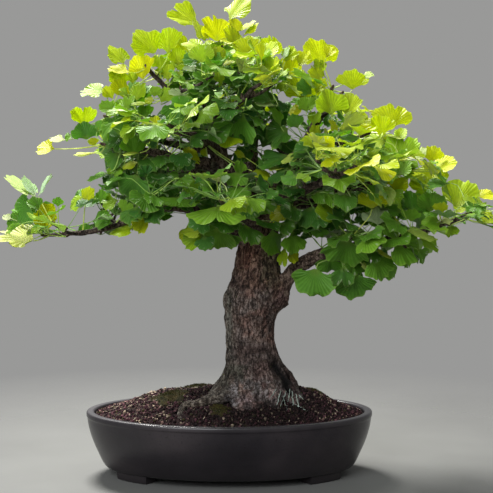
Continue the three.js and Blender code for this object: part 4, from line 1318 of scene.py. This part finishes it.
def leaf_skins(crown, buds):
    """One skin of blades, stalks and buds for each limb."""
    skins = [Skin() for _ in LIMBS]
    for leaf, group in zip(crown.leaves, crown.groups):
        tint = leaf_tint(leaf)
        skins[group].add(leaf.blade(leaf.fan.points), leaf.fan.faces, tint, leaf.fan.places, 0)
        line = leaf.stalk()
        slim = 1.0 if leaf.tone is not None else 0.7
        radii = slim * lerp(1.0, 0.55, np.linspace(0, 1, len(line)) ** 0.5)
        points, faces = tube(line, radii * STALK_RADIUS, STALK_SIDES)
        stalk_tint = lerp(tint, np.array(STALK_GREEN), 0.65 if leaf.tone is not None else 0.3)
        skins[group].add(points, faces, stalk_tint, (0, 0, 0), 1)
    for group, foot, axis, size in buds:
        line = [foot + axis * (BUD_LENGTH + 1) * t - axis for t in (0, 0.15, 0.3, 0.45, 0.6, 0.8, 1.0)]
        swell = np.array([1.0, 1.12, 0.95, 1.12, 0.95, 1.0, 0.5])
        radii = lerp(SPUR_RADII[0], SPUR_RADII[1], np.linspace(0, 1, len(line))) * swell * size
        points, faces = tube(line, radii, BUD_SIDES)
        skins[group].add(points, faces, (0.8, 0.72, 0.6), (0.2, 0.2, 0.2), 2)
    return skins


def blade_material():
    """Leaf blades: fanned veins, a paler and duller underside, and light that shines through them."""
    leaf = Material("leaf_blade", Specular_IOR_Level=0.32)
    side, out, under = leaf.place()
    veins = leaf.math("SINE", leaf.math("MULTIPLY", side, VEIN_RATE))
    mottle = leaf.noise(260, 4)
    lined = leaf.mix(leaf.levels(veins, 0.6, -1, 0, 0.24), leaf.tint(), linear(150, 166, 80), "MULTIPLY")
    mottled = leaf.mix(leaf.levels(mottle, 0.4, 0.7, 0, 0.22), lined, linear(150, 190, 90), "MULTIPLY")
    based = leaf.mix(leaf.levels(out, 0.35, 0.0, 0, 0.3), mottled, linear(216, 228, 120))
    rimmed = leaf.mix(leaf.levels(out, 0.9, 1.0, 0, 0.14), based, linear(226, 236, 130))
    paler = leaf.mix(0.5, rimmed, linear(206, 220, 180))
    colour = leaf.mix(under, rimmed, paler)
    leaf.link(colour, "Base Color")
    leaf.link(leaf.levels(under, 0, 1, 0.48, 0.75), "Roughness")
    leaf.link(leaf.bump(veins, 0.3, 0.8, leaf.bump(mottle, 0.3, 0.5)), "Normal")
    glow = leaf.mix(0.8, colour, linear(255, 255, 150), "MULTIPLY")
    through = leaf.node("BsdfTranslucent", {"Color": glow})
    both = leaf.node("MixShader", {0: 0.5, 1: leaf.shader.outputs[0], 2: through.outputs[0]})
    leaf.tree.links.new(both.outputs[0], leaf.output.inputs["Surface"])
    return leaf.made


def stalk_material():
    """Leaf stalks: pale green, slightly streaked."""
    stalk = Material("leaf_stalk", Roughness=0.5, Specular_IOR_Level=0.4)
    streaks = stalk.noise(300, 2, (1, 1, 0.3))
    streaked = stalk.mix(stalk.levels(streaks, 0.4, 0.65, 0, 0.4), stalk.tint(), linear(120, 150, 60))
    stalk.link(streaked, "Base Color")
    stalk.link(stalk.bump(streaks, 0.3, 0.5), "Normal")
    return stalk.made


# ---- Pot ----
POT_SIDES = 160
HOLE_SIDES = 40


def oval(inset, angle):
    """The point of the pot's oval that lies `inset` inside the edge of its lip."""
    return (POT_LENGTH / 2 - inset) * np.cos(angle), (POT_WIDTH / 2 - inset) * np.sin(angle)


def inner_inset(z):
    """Inset of the pot's inner wall at a height."""
    return lerp(BASE_INSET + WALL, LIP + 1, smoothstep(z, 0, POT_HEIGHT - LIP))


def rounded(corners):
    """A line through corners (x, z, radius) with each corner rounded off."""
    line = [corners[0][:2]]
    for before, corner, after in zip(corners, corners[1:], corners[2:]):
        middle = Vector(corner[:2])
        ends = []
        for other in (before, after):
            way = Vector(other[:2]) - middle
            ends.append(middle + way.normalized() * min(corner[2], way.length * 0.49))
        for t in np.linspace(0, 1, 5 if corner[2] else 1):
            line.append(tuple((1 - t) ** 2 * ends[0] + 2 * t * (1 - t) * middle + t**2 * ends[1]))
    return [*line, corners[-1][:2]]


def oval_form(line, sides=POT_SIDES):
    """A closed form round the pot's middle: rings at insets and heights, capped at both ends."""
    rings = [joined(*oval(inset, turns(sides)), z) for inset, z in line]
    return np.concatenate(rings), ring_faces(len(line), sides)


def pot_line():
    """Insets and heights of the pot's wall, from its underside over the lip and down to its floor."""
    band_bottom = POT_HEIGHT - RIM_BAND
    outside = [
        (BASE_INSET + 8, FOOT_HEIGHT, 0),
        (BASE_INSET + 3, FOOT_HEIGHT, 3),
        (BASE_INSET - 1, FOOT_HEIGHT + 6, 5),
        (BASE_INSET - 4.5, FOOT_HEIGHT + 14, 6),
        (BAND_STEP + 7.5, FOOT_HEIGHT + 23, 7),
        (BAND_STEP + 3.5, band_bottom - 18, 7),
        (BAND_STEP + 1, band_bottom - 8, 5),
        (BAND_STEP, band_bottom, 1.2),
        (0, band_bottom + 1.2, 0.7),
        (0, POT_HEIGHT, 2.4),
        (LIP, POT_HEIGHT, 2.0),
        (inner_inset(POT_HEIGHT - 5), POT_HEIGHT - 5, 1.0),
    ]
    inside = [(inner_inset(z), z, 3) for z in (54, 46, 38, 30, 22)]
    floor = [(BASE_INSET + WALL, POT_FLOOR, 5), (BASE_INSET + WALL + 14, POT_FLOOR, 0)]
    return rounded([*outside, *inside, *floor])


def foot(angle):
    """A foot under the edge of the base, rounded where it meets the table."""
    along = np.linspace(-1, 1, 9)
    rings = []
    for shrink, z in ((1.2, 0), (0.4, 0.4), (0, 1.4), (0, 5), (-0.8, FOOT_HEIGHT + 2)):
        angles = angle + FOOT_SWEEP * along * (0.5 - 0.012 * shrink)
        outer = oval(BASE_INSET + 5 + shrink, angles)
        inner = oval(BASE_INSET + 5 + FOOT_DEPTH - shrink, angles[::-1])
        rings.append(joined(*np.concatenate([outer, inner], axis=1), z))
    return np.concatenate(rings), ring_faces(len(rings), len(rings[0]))


def pot_piece():
    """The pot with its drainage holes and feet."""
    body = new_object("raw_pot", *oval_form(pot_line()))
    cutters = []
    for x in HOLE_PLACES:
        drill = tube([(x, 0, z) for z in (0, 10, 30)], [HOLE_RADIUS] * 3, HOLE_SIDES)
        cutters.append(new_object("drill", *drill))
    cuts = [("BOOLEAN", {"object": cutter, "operation": "DIFFERENCE"}) for cutter in cutters]
    points, faces = applied(body, *cuts)
    for cutter in cutters:
        bpy.data.objects.remove(cutter)
    skin = Skin()
    skin.add(points, faces)
    for angle in (FOOT_ANGLE, math.pi - FOOT_ANGLE, math.pi + FOOT_ANGLE, -FOOT_ANGLE):
        skin.add(*foot(angle))
    return skin.build("oval_pot", [glaze_material()], ["pot"], "glaze")


def glaze_material():
    """Dark purplish-grey glaze, mottled, thinner and lighter along the lip, with fine pits."""
    gloss = {"Specular_IOR_Level": 0.38, "Coat_Weight": 0.25, "Coat_Roughness": 0.08}
    glaze = Material("pot_glaze", **gloss)
    clouds = glaze.noise(16, 5)
    specks = glaze.noise(520, 2)
    place = glaze.node("TexCoord").outputs["Object"]
    height = glaze.node("SeparateXYZ", {"Vector": place}).outputs["Z"]
    body = glaze.ramp(
        clouds,
        (0.3, linear(24, 21, 25)),
        (0.5, linear(36, 32, 36)),
        (0.7, linear(52, 46, 49)),
    )
    lip = glaze.levels(height, (POT_HEIGHT - 2.0) * MM, POT_HEIGHT * MM, 0, 0.5)
    edged = glaze.mix(lip, body, linear(62, 60, 66))
    low = glaze.mix(glaze.levels(height, 0.03, 0.0, 0, 0.5), edged, linear(26, 22, 22))
    colour = glaze.mix(glaze.levels(specks, 0.6, 0.72, 0, 0.5), low, linear(16, 14, 15))
    glaze.link(colour, "Base Color")
    glaze.link(glaze.levels(clouds, 0.3, 0.7, 0.28, 0.46), "Roughness")
    glaze.link(glaze.bump(specks, 0.25, 0.4, glaze.bump(clouds, 1.2, 0.5)), "Normal")
    return glaze.made


# ---- Soil and moss ----
GRAINS = 7500
LARGE_GRAIN = 1.35  # from this radius a grain has twenty faces, and below it eight
SOIL_BOTTOM = 19  # above the screens and their wires
SOIL_SIDES = 180
MOSS = {
    "moss_left": (-62, -8, 44, 44, 4),
    "moss_front": (-9, -55, 22, 24, 3),
    "moss_right": (92, 20, 26, 40, 3.5),
    "moss_back": (-38, 48, 40, 26, 4),
}
MOSS_COLOURS = [linear(48, 52, 22), linear(74, 76, 34), linear(30, 34, 16), linear(60, 50, 32)]
GRAIN_COLOURS = [
    (linear(34, 21, 24), 0.34),
    (linear(68, 42, 48), 0.30),
    (linear(96, 62, 70), 0.16),
    (linear(124, 98, 92), 0.09),
    (linear(186, 170, 148), 0.05),
    (linear(66, 64, 38), 0.06),
]
STRAWS = 700
SHOOTS = 900  # on each cushion of moss
GRAIN_SEED, STRAW_SEED, ROOTLET_SEED, MOSS_SEED = 4, 6, 8, 50
# Painted shade: the soil and its crumbs are darkened in front of the trunk, where the tree shades them.
PAINTED_SHADE_MIDDLE = (22, -30)  # the soil is darkest here, in front of the trunk
PAINTED_SHADE_REACH = (95, 80)


def soil_height(x, y):
    """Height of the soil: heaped up from the lip, mounded round the trunk, with low lumps."""
    to_edge = np.hypot(x / (POT_LENGTH / 2 - LIP), y / (POT_WIDTH / 2 - LIP))
    to_top = np.hypot((x - MOUND_TOP[0]) / MOUND_REACH[0], (y - MOUND_TOP[1]) / MOUND_REACH[1])
    mound = SOIL_HEAP + SOIL_RISE * (1 - smoothstep(to_top, 0.12, 1))
    lumps = SOIL_LUMPS * (np.sin(x / 11 + y / 17) + np.sin(y / 9 - x / 23))
    return SOIL_EDGE + (mound + lumps) * (1 - smoothstep(to_edge, 0.62, 1))


def painted_soil_shade(x, y):
    """How strongly painted shade darkens the soil, from 0 along the lip to 1 in front of the trunk."""
    far = np.hypot((x - PAINTED_SHADE_MIDDLE[0]) / PAINTED_SHADE_REACH[0], (y - PAINTED_SHADE_MIDDLE[1]) / PAINTED_SHADE_REACH[1])
    return 1 - smoothstep(far, 0.45, 1.15)


def soil_body():
    """The soil in the pot: a crumbly surface, and plain sides and bottom that the pot hides."""
    walls = [(inner_inset(z) + 0.5, z) for z in (SOIL_BOTTOM, 30, 38, 46, 54)]
    edge = inner_inset(SOIL_EDGE) + 0.6
    surface = [(lerp(edge, POT_WIDTH / 2 - 2, t), SOIL_EDGE) for t in np.linspace(0, 1, 62) ** 0.8]
    points, faces = oval_form([*walls, *surface], SOIL_SIDES)
    top = slice(len(walls) * SOIL_SIDES, None)
    rough = 0.9 * noise_at(points[top], 3.2) + 0.8 * noise_at(points[top], 8)
    points[top, 2] = soil_height(points[top, 0], points[top, 1]) + rough
    return points, faces


def octahedron():
    """Points and faces of a grain with eight sides."""
    points = np.concatenate([np.eye(3), -np.eye(3)])
    faces = [[0, 1, 2], [1, 3, 2], [3, 4, 2], [4, 0, 2], [1, 0, 5], [3, 1, 5], [4, 3, 5], [0, 4, 5]]
    return points, faces


def icosahedron():
    """Points and faces of a grain with twenty sides."""
    points = [Vector((0, 0, 1)), Vector((0, 0, -1))]
    for z, start in ((0.447, 0), (-0.447, math.pi / 5)):
        for i in range(5):
            angle = start + i * 2 * math.pi / 5
            points.append(Vector((0.894 * math.cos(angle), 0.894 * math.sin(angle), z)))
    faces = []
    for i in range(5):
        j = (i + 1) % 5
        faces += [[0, 2 + i, 2 + j], [1, 7 + j, 7 + i], [2 + i, 7 + i, 2 + j], [7 + i, 7 + j, 2 + j]]
    return np.array(points), faces


def loose_grains(skin, wood):
    """Crumbs of soil scattered on the surface, outside the wood."""
    random = np.random.default_rng(GRAIN_SEED)
    coarse, fine = octahedron(), icosahedron()
    shares = np.array([share for _, share in GRAIN_COLOURS])
    for _ in range(GRAINS):
        angle, reach = random.uniform(0, 2 * math.pi), math.sqrt(random.uniform(0, 1))
        x, y = (reach * c for c in oval(inner_inset(SOIL_EDGE) + 2.5, angle))
        radius = 0.7 + 1.5 * random.beta(1.3, 3.2)
        place = np.array([x, y, soil_height(x, y) + 0.5 + 0.3 * radius])
        spot, normal, _, _ = wood.find_nearest(place)
        if (Vector(place) - spot).dot(normal) < radius:
            continue
        shape, faces = fine if radius > LARGE_GRAIN else coarse
        jitter = shape * random.uniform(0.72, 1.18, (len(shape), 1)) * random.uniform(0.7, 1.25, 3)
        turned = jitter @ random_turn(random)
        # Painted light brightens the crumbs on the left of the soil, and painted shade darkens them in front
        # of the trunk.
        light = smoothstep(-x, 40, 120) * 0.5 - 0.72 * painted_soil_shade(x, y)
        colour = np.array(GRAIN_COLOURS[random.choice(len(shares), p=shares / shares.sum())][0])
        tint = colour * random.uniform(0.75, 1.3) * (1 + light)
        skin.add(place + turned * radius, faces, tint)


def random_turn(random):
    """A random rotation as a matrix."""
    turn, _ = np.linalg.qr(random.normal(size=(3, 3)))
    return turn * np.sign(np.linalg.det(turn))


def straw(skin):
    """Bits of straw on the soil, most of them at its back and left."""
    random = np.random.default_rng(STRAW_SEED)
    for _ in range(STRAWS):
        angle, reach = random.uniform(0, 2 * math.pi), math.sqrt(random.uniform(0.1, 0.92))
        x, y = (reach * c for c in oval(inner_inset(SOIL_EDGE) + 4, angle))
        heading, length = random.uniform(0, 2 * math.pi), random.uniform(1.5, 7)
        bow = random.uniform(-0.25, 0.25)
        share = lerp(0.3, 1.0, smoothstep(y - 0.6 * x, -20, 90)) * (1 - painted_soil_shade(x, y))
        if random.uniform() > share:
            continue
        line = []
        for t in np.linspace(-0.5, 0.5, 6):
            px = x + length * (t * math.cos(heading) - bow * (0.25 - t * t) * math.sin(heading))
            py = y + length * (t * math.sin(heading) + bow * (0.25 - t * t) * math.cos(heading))
            line.append((px, py, soil_height(px, py) + 1.5 + random.uniform(0, 0.5)))
        tint = np.array(linear(200, 186, 164)) * random.uniform(0.15, 1.2)
        skin.add(*tube(line, np.array([0.6, 0.9, 1, 1, 0.8, 0.4]) * random.uniform(0.2, 0.45), 4), tint)


# Fine pale roots on the front right of the flare: where the photo shows the upper and the lower end of each.
ROOTLETS = [
    (276, 389, 270, 399), (281, 391, 277, 405), (286, 391, 281, 406), (290, 389, 287, 411),
    (292, 391, 293, 406), (296, 394, 299, 407), (299, 395, 305, 401), (295, 404, 307, 411),
    (283, 396, 288, 412),
]


def rootlets(skin, ground):
    """The fine roots, laid on the wood and the soil."""
    random = np.random.default_rng(ROOTLET_SEED)
    for x0, y0, x1, y1 in ROOTLETS:
        line = []
        for t in np.linspace(0, 1, 8):
            aim = seen_at(lerp(x0, x1, t) + random.uniform(-0.6, 0.6), lerp(y0, y1, t), 0) - CAMERA_PLACE
            spot = ground.ray_cast(CAMERA_PLACE, aim.normalized())[0]
            if spot:
                line.append(spot - aim.normalized() * 0.7)
        radii = np.interp(np.linspace(0, 1, len(line)), [0, 0.3, 1], [0.35, 0.65, 0.3])
        skin.add(*tube(line, radii, 5), np.array(linear(176, 192, 182)) * random.uniform(0.6, 1.2))


def soil_piece(wood, wood_points, wood_faces):
    """The soil with its crumbs, its straw and the roots that reach it."""
    skin = Skin()
    points, faces = soil_body()
    darkening = painted_soil_shade(points[:, 0], points[:, 1])[:, None]
    # The soil's colour, darkened by painted shade in front of the trunk.
    skin.add(points, faces, np.array(linear(44, 29, 30)) * (1 - 0.6 * darkening))
    ground_points = np.concatenate([wood_points, points]).tolist()
    ground_faces = wood_faces + shifted(faces, len(wood_points))
    loose_grains(skin, wood)
    straw(skin)
    rootlets(skin, BVHTree.FromPolygons(ground_points, ground_faces))
    return skin.build("potting_soil", [soil_material()], ["soil"], "soil")


def soil_material():
    """Crumbly reddish-brown soil; each crumb brings its own colour, and the soil's colours hold painted shade
    in front of the trunk and painted light on its left.
    """
    soil = Material("crumbly_soil", Roughness=0.95, Specular_IOR_Level=0.2)
    fine, coarse = soil.noise(1100, 3), soil.noise(240, 3)
    darkening = soil.levels(coarse, 0.35, 0.65, 0, 0.7)
    darkened = soil.mix(darkening, soil.tint(), linear(120, 104, 100), "MULTIPLY")
    colour = soil.mix(soil.levels(fine, 0.62, 0.75, 0, 0.5), darkened, linear(140, 112, 100))
    soil.link(colour, "Base Color")
    soil.link(soil.bump(fine, 0.6, 0.8, soil.bump(coarse, 1.0, 0.8)), "Normal")
    return soil.made


def moss_piece(name, patch, number, material):
    """A cushion of moss with short shoots all over it."""
    x0, y0, length, width, height = patch
    random = np.random.default_rng(MOSS_SEED + number)
    rings, sides = 16, 56
    points = []
    for i in range(rings):
        reach = 1 - i / (rings - 0.5)
        for angle in turns(sides):
            wide = reach * (1 + 0.5 * noise.noise(Vector((math.cos(angle), math.sin(angle), number)) * 1.9))
            x, y = x0 + wide * math.cos(angle) * length / 2, y0 + wide * math.sin(angle) * width / 2
            dome = height * (1 - reach**2) ** 0.5
            lumps = 1.3 * noise.noise(Vector((x, y, 0)) / 4) * (1 - reach**4)
            points.append((x, y, soil_height(x, y) - 0.6 + dome + lumps))
    skin = Skin()
    skin.add(points, ring_faces(rings, sides), linear(34, 34, 18))
    for spot in np.array(points)[random.integers(sides * 2, rings * sides, SHOOTS)]:
        lean = random.normal(0, 0.35, 2)
        tall = random.uniform(0.9, 2.0)
        start = spot + np.array([*random.uniform(-1.2, 1.2, 2), -0.4])
        angles = random.uniform(0, 2 * math.pi) + turns(3)
        base = start + 0.42 * joined(np.cos(angles), np.sin(angles), 0)
        cone = [[0, 1, 3], [1, 2, 3], [2, 0, 3], [2, 1, 0]]
        tint = np.array(MOSS_COLOURS[random.integers(len(MOSS_COLOURS))]) * random.uniform(0.7, 1.3)
        skin.add([*base, start + np.array([*lean, 1]) * tall], cone, tint)
    return skin.build(name + "_cushion", [material], [name], "moss")


def moss_material():
    """Dark olive moss, brown in places."""
    moss = Material("moss_cushion", Roughness=0.9, Specular_IOR_Level=0.15)
    brown = moss.levels(moss.noise(120, 3), 0.4, 0.65, 0, 0.6)
    moss.link(moss.mix(brown, moss.tint(), linear(70, 58, 30)), "Base Color")
    moss.link(moss.bump(moss.noise(1400, 2), 0.5, 0.6), "Normal")
    return moss.made


# ---- Screens and wires keep their CAD shape ----
def finish_drainage():
    """Materials for the screens and their wires."""
    plastic = Material("screen_plastic", Roughness=0.6, Specular_IOR_Level=0.4)
    grit = plastic.noise(700, 3)
    stops = (0.4, linear(28, 30, 33)), (0.62, linear(44, 46, 48)), (0.72, linear(84, 66, 56))
    plastic.link(plastic.ramp(grit, *stops), "Base Color")
    plastic.link(plastic.bump(grit, 0.2, 0.4), "Normal")
    wire = Material("clip_wire", Metallic=1.0)
    dull = wire.noise(500, 3)
    wire.link(wire.ramp(dull, (0.35, linear(176, 120, 82)), (0.7, linear(112, 80, 62))), "Base Color")
    wire.link(wire.levels(dull, 0.3, 0.7, 0.3, 0.55), "Roughness")
    for side in ("left", "right"):
        for node, material in (("drainage_screen_", plastic), ("screen_wire_", wire)):
            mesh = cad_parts[node + side].data
            mesh.materials.clear()
            mesh.materials.append(material.made)


# ---- Stage, light and camera ----
FLOOR_RADIUS = 3.0
BACKDROP = linear(153, 153, 152)


def add_stage():
    """A pale floor that fades into the plain grey surroundings."""
    sides = 96
    ring = [(math.cos(angle), math.sin(angle), 0) for angle in turns(sides)]
    points = np.array(ring) * FLOOR_RADIUS / MM - POT_MIDDLE
    floor = new_object("floor", points, [list(range(sides))])
    surface = Material("floor", Roughness=0.7, Specular_IOR_Level=0.3)
    place = surface.node("TexCoord").outputs["Object"]
    far = surface.node("VectorMath", {0: place}, operation="LENGTH").outputs["Value"]
    stops = (0.3, linear(106, 107, 105)), (0.7, linear(112, 113, 111))
    surface.link(surface.ramp(surface.noise(9, 4), *stops), "Base Color")
    clear = surface.node("BsdfTransparent")
    fade = surface.levels(far, 0.22, 0.75)
    both = surface.node("MixShader", {0: fade, 1: surface.shader.outputs[0], 2: clear.outputs[0]})
    surface.tree.links.new(both.outputs[0], surface.output.inputs["Surface"])
    floor.data.materials.append(surface.made)


def add_light(name, place, aim, size, power, colour=(1, 1, 1)):
    """An area light at a place in metres, aimed at a point."""
    data = bpy.data.lights.new(name, "AREA")
    data.shape, data.size, data.energy, data.color = "DISK", size, power, colour
    light = bpy.data.objects.new(name, data)
    bpy.context.scene.collection.objects.link(light)
    light.location = place
    light.rotation_mode = "QUATERNION"
    light.rotation_quaternion = (Vector(aim) - Vector(place)).to_track_quat("-Z", "Y")


def add_lights():
    """Grey surroundings, a soft light high behind the tree on the left, and a weaker one in front."""
    world = bpy.data.worlds.new("studio")
    world.use_nodes = True
    world.node_tree.nodes["Background"].inputs["Color"].default_value = (*BACKDROP, 1)
    bpy.context.scene.world = world
    add_light("key", (-0.4, 0.75, 1.5), (0, 0, 0.35), 0.5, 68, (1, 0.98, 0.94))
    add_light("fill", (-0.7, -1.5, 1.0), (0, 0, 0.25), 1.2, 26, (0.96, 0.98, 1))


def add_camera():
    """A camera where the photo was taken from."""
    data = bpy.data.cameras.new("camera")
    data.sensor_width = 36
    data.lens = data.sensor_width / 2 / math.tan(FIELD_OF_VIEW / 2)
    camera = bpy.data.objects.new("camera", data)
    bpy.context.scene.collection.objects.link(camera)
    camera.location = (np.array(CAMERA_PLACE) + POT_MIDDLE) * MM
    camera.rotation_euler = (math.pi / 2 - CAMERA_PITCH, 0, 0)
    bpy.context.scene.camera = camera


# ---- Assembly ----
bpy.context.scene.view_settings.view_transform = "Standard"
bark = bark_material()
trunk = trunk_skin()
branches = branch_skin()
wood_points = np.concatenate([*trunk.points, *branches.points])
wood_faces = trunk.faces + shifted(branches.faces, trunk.count)
wood = BVHTree.FromPolygons(wood_points.tolist(), wood_faces)
trunk.build("trunk_bark", [bark], ["trunk_and_branches"], "bark")
branches.build("limbs_and_twigs", [bark], ["trunk_and_branches"], "bark")

blades, stalks = blade_material(), stalk_material()
for number, skin in enumerate(leaf_skins(*grown_crown(wood))):
    clusters = [name for _, name, group, *_ in cluster_tips() if group == number]
    skin.build("leaves_" + LIMBS[number][0], [blades, stalks, bark], clusters, "leaf")

pot_piece()
soil_piece(wood, wood_points, wood_faces)
moss = moss_material()
for number, (moss_name, patch) in enumerate(MOSS.items()):
    moss_piece(moss_name, patch, number, moss)
finish_drainage()

add_stage()
add_lights()
add_camera()
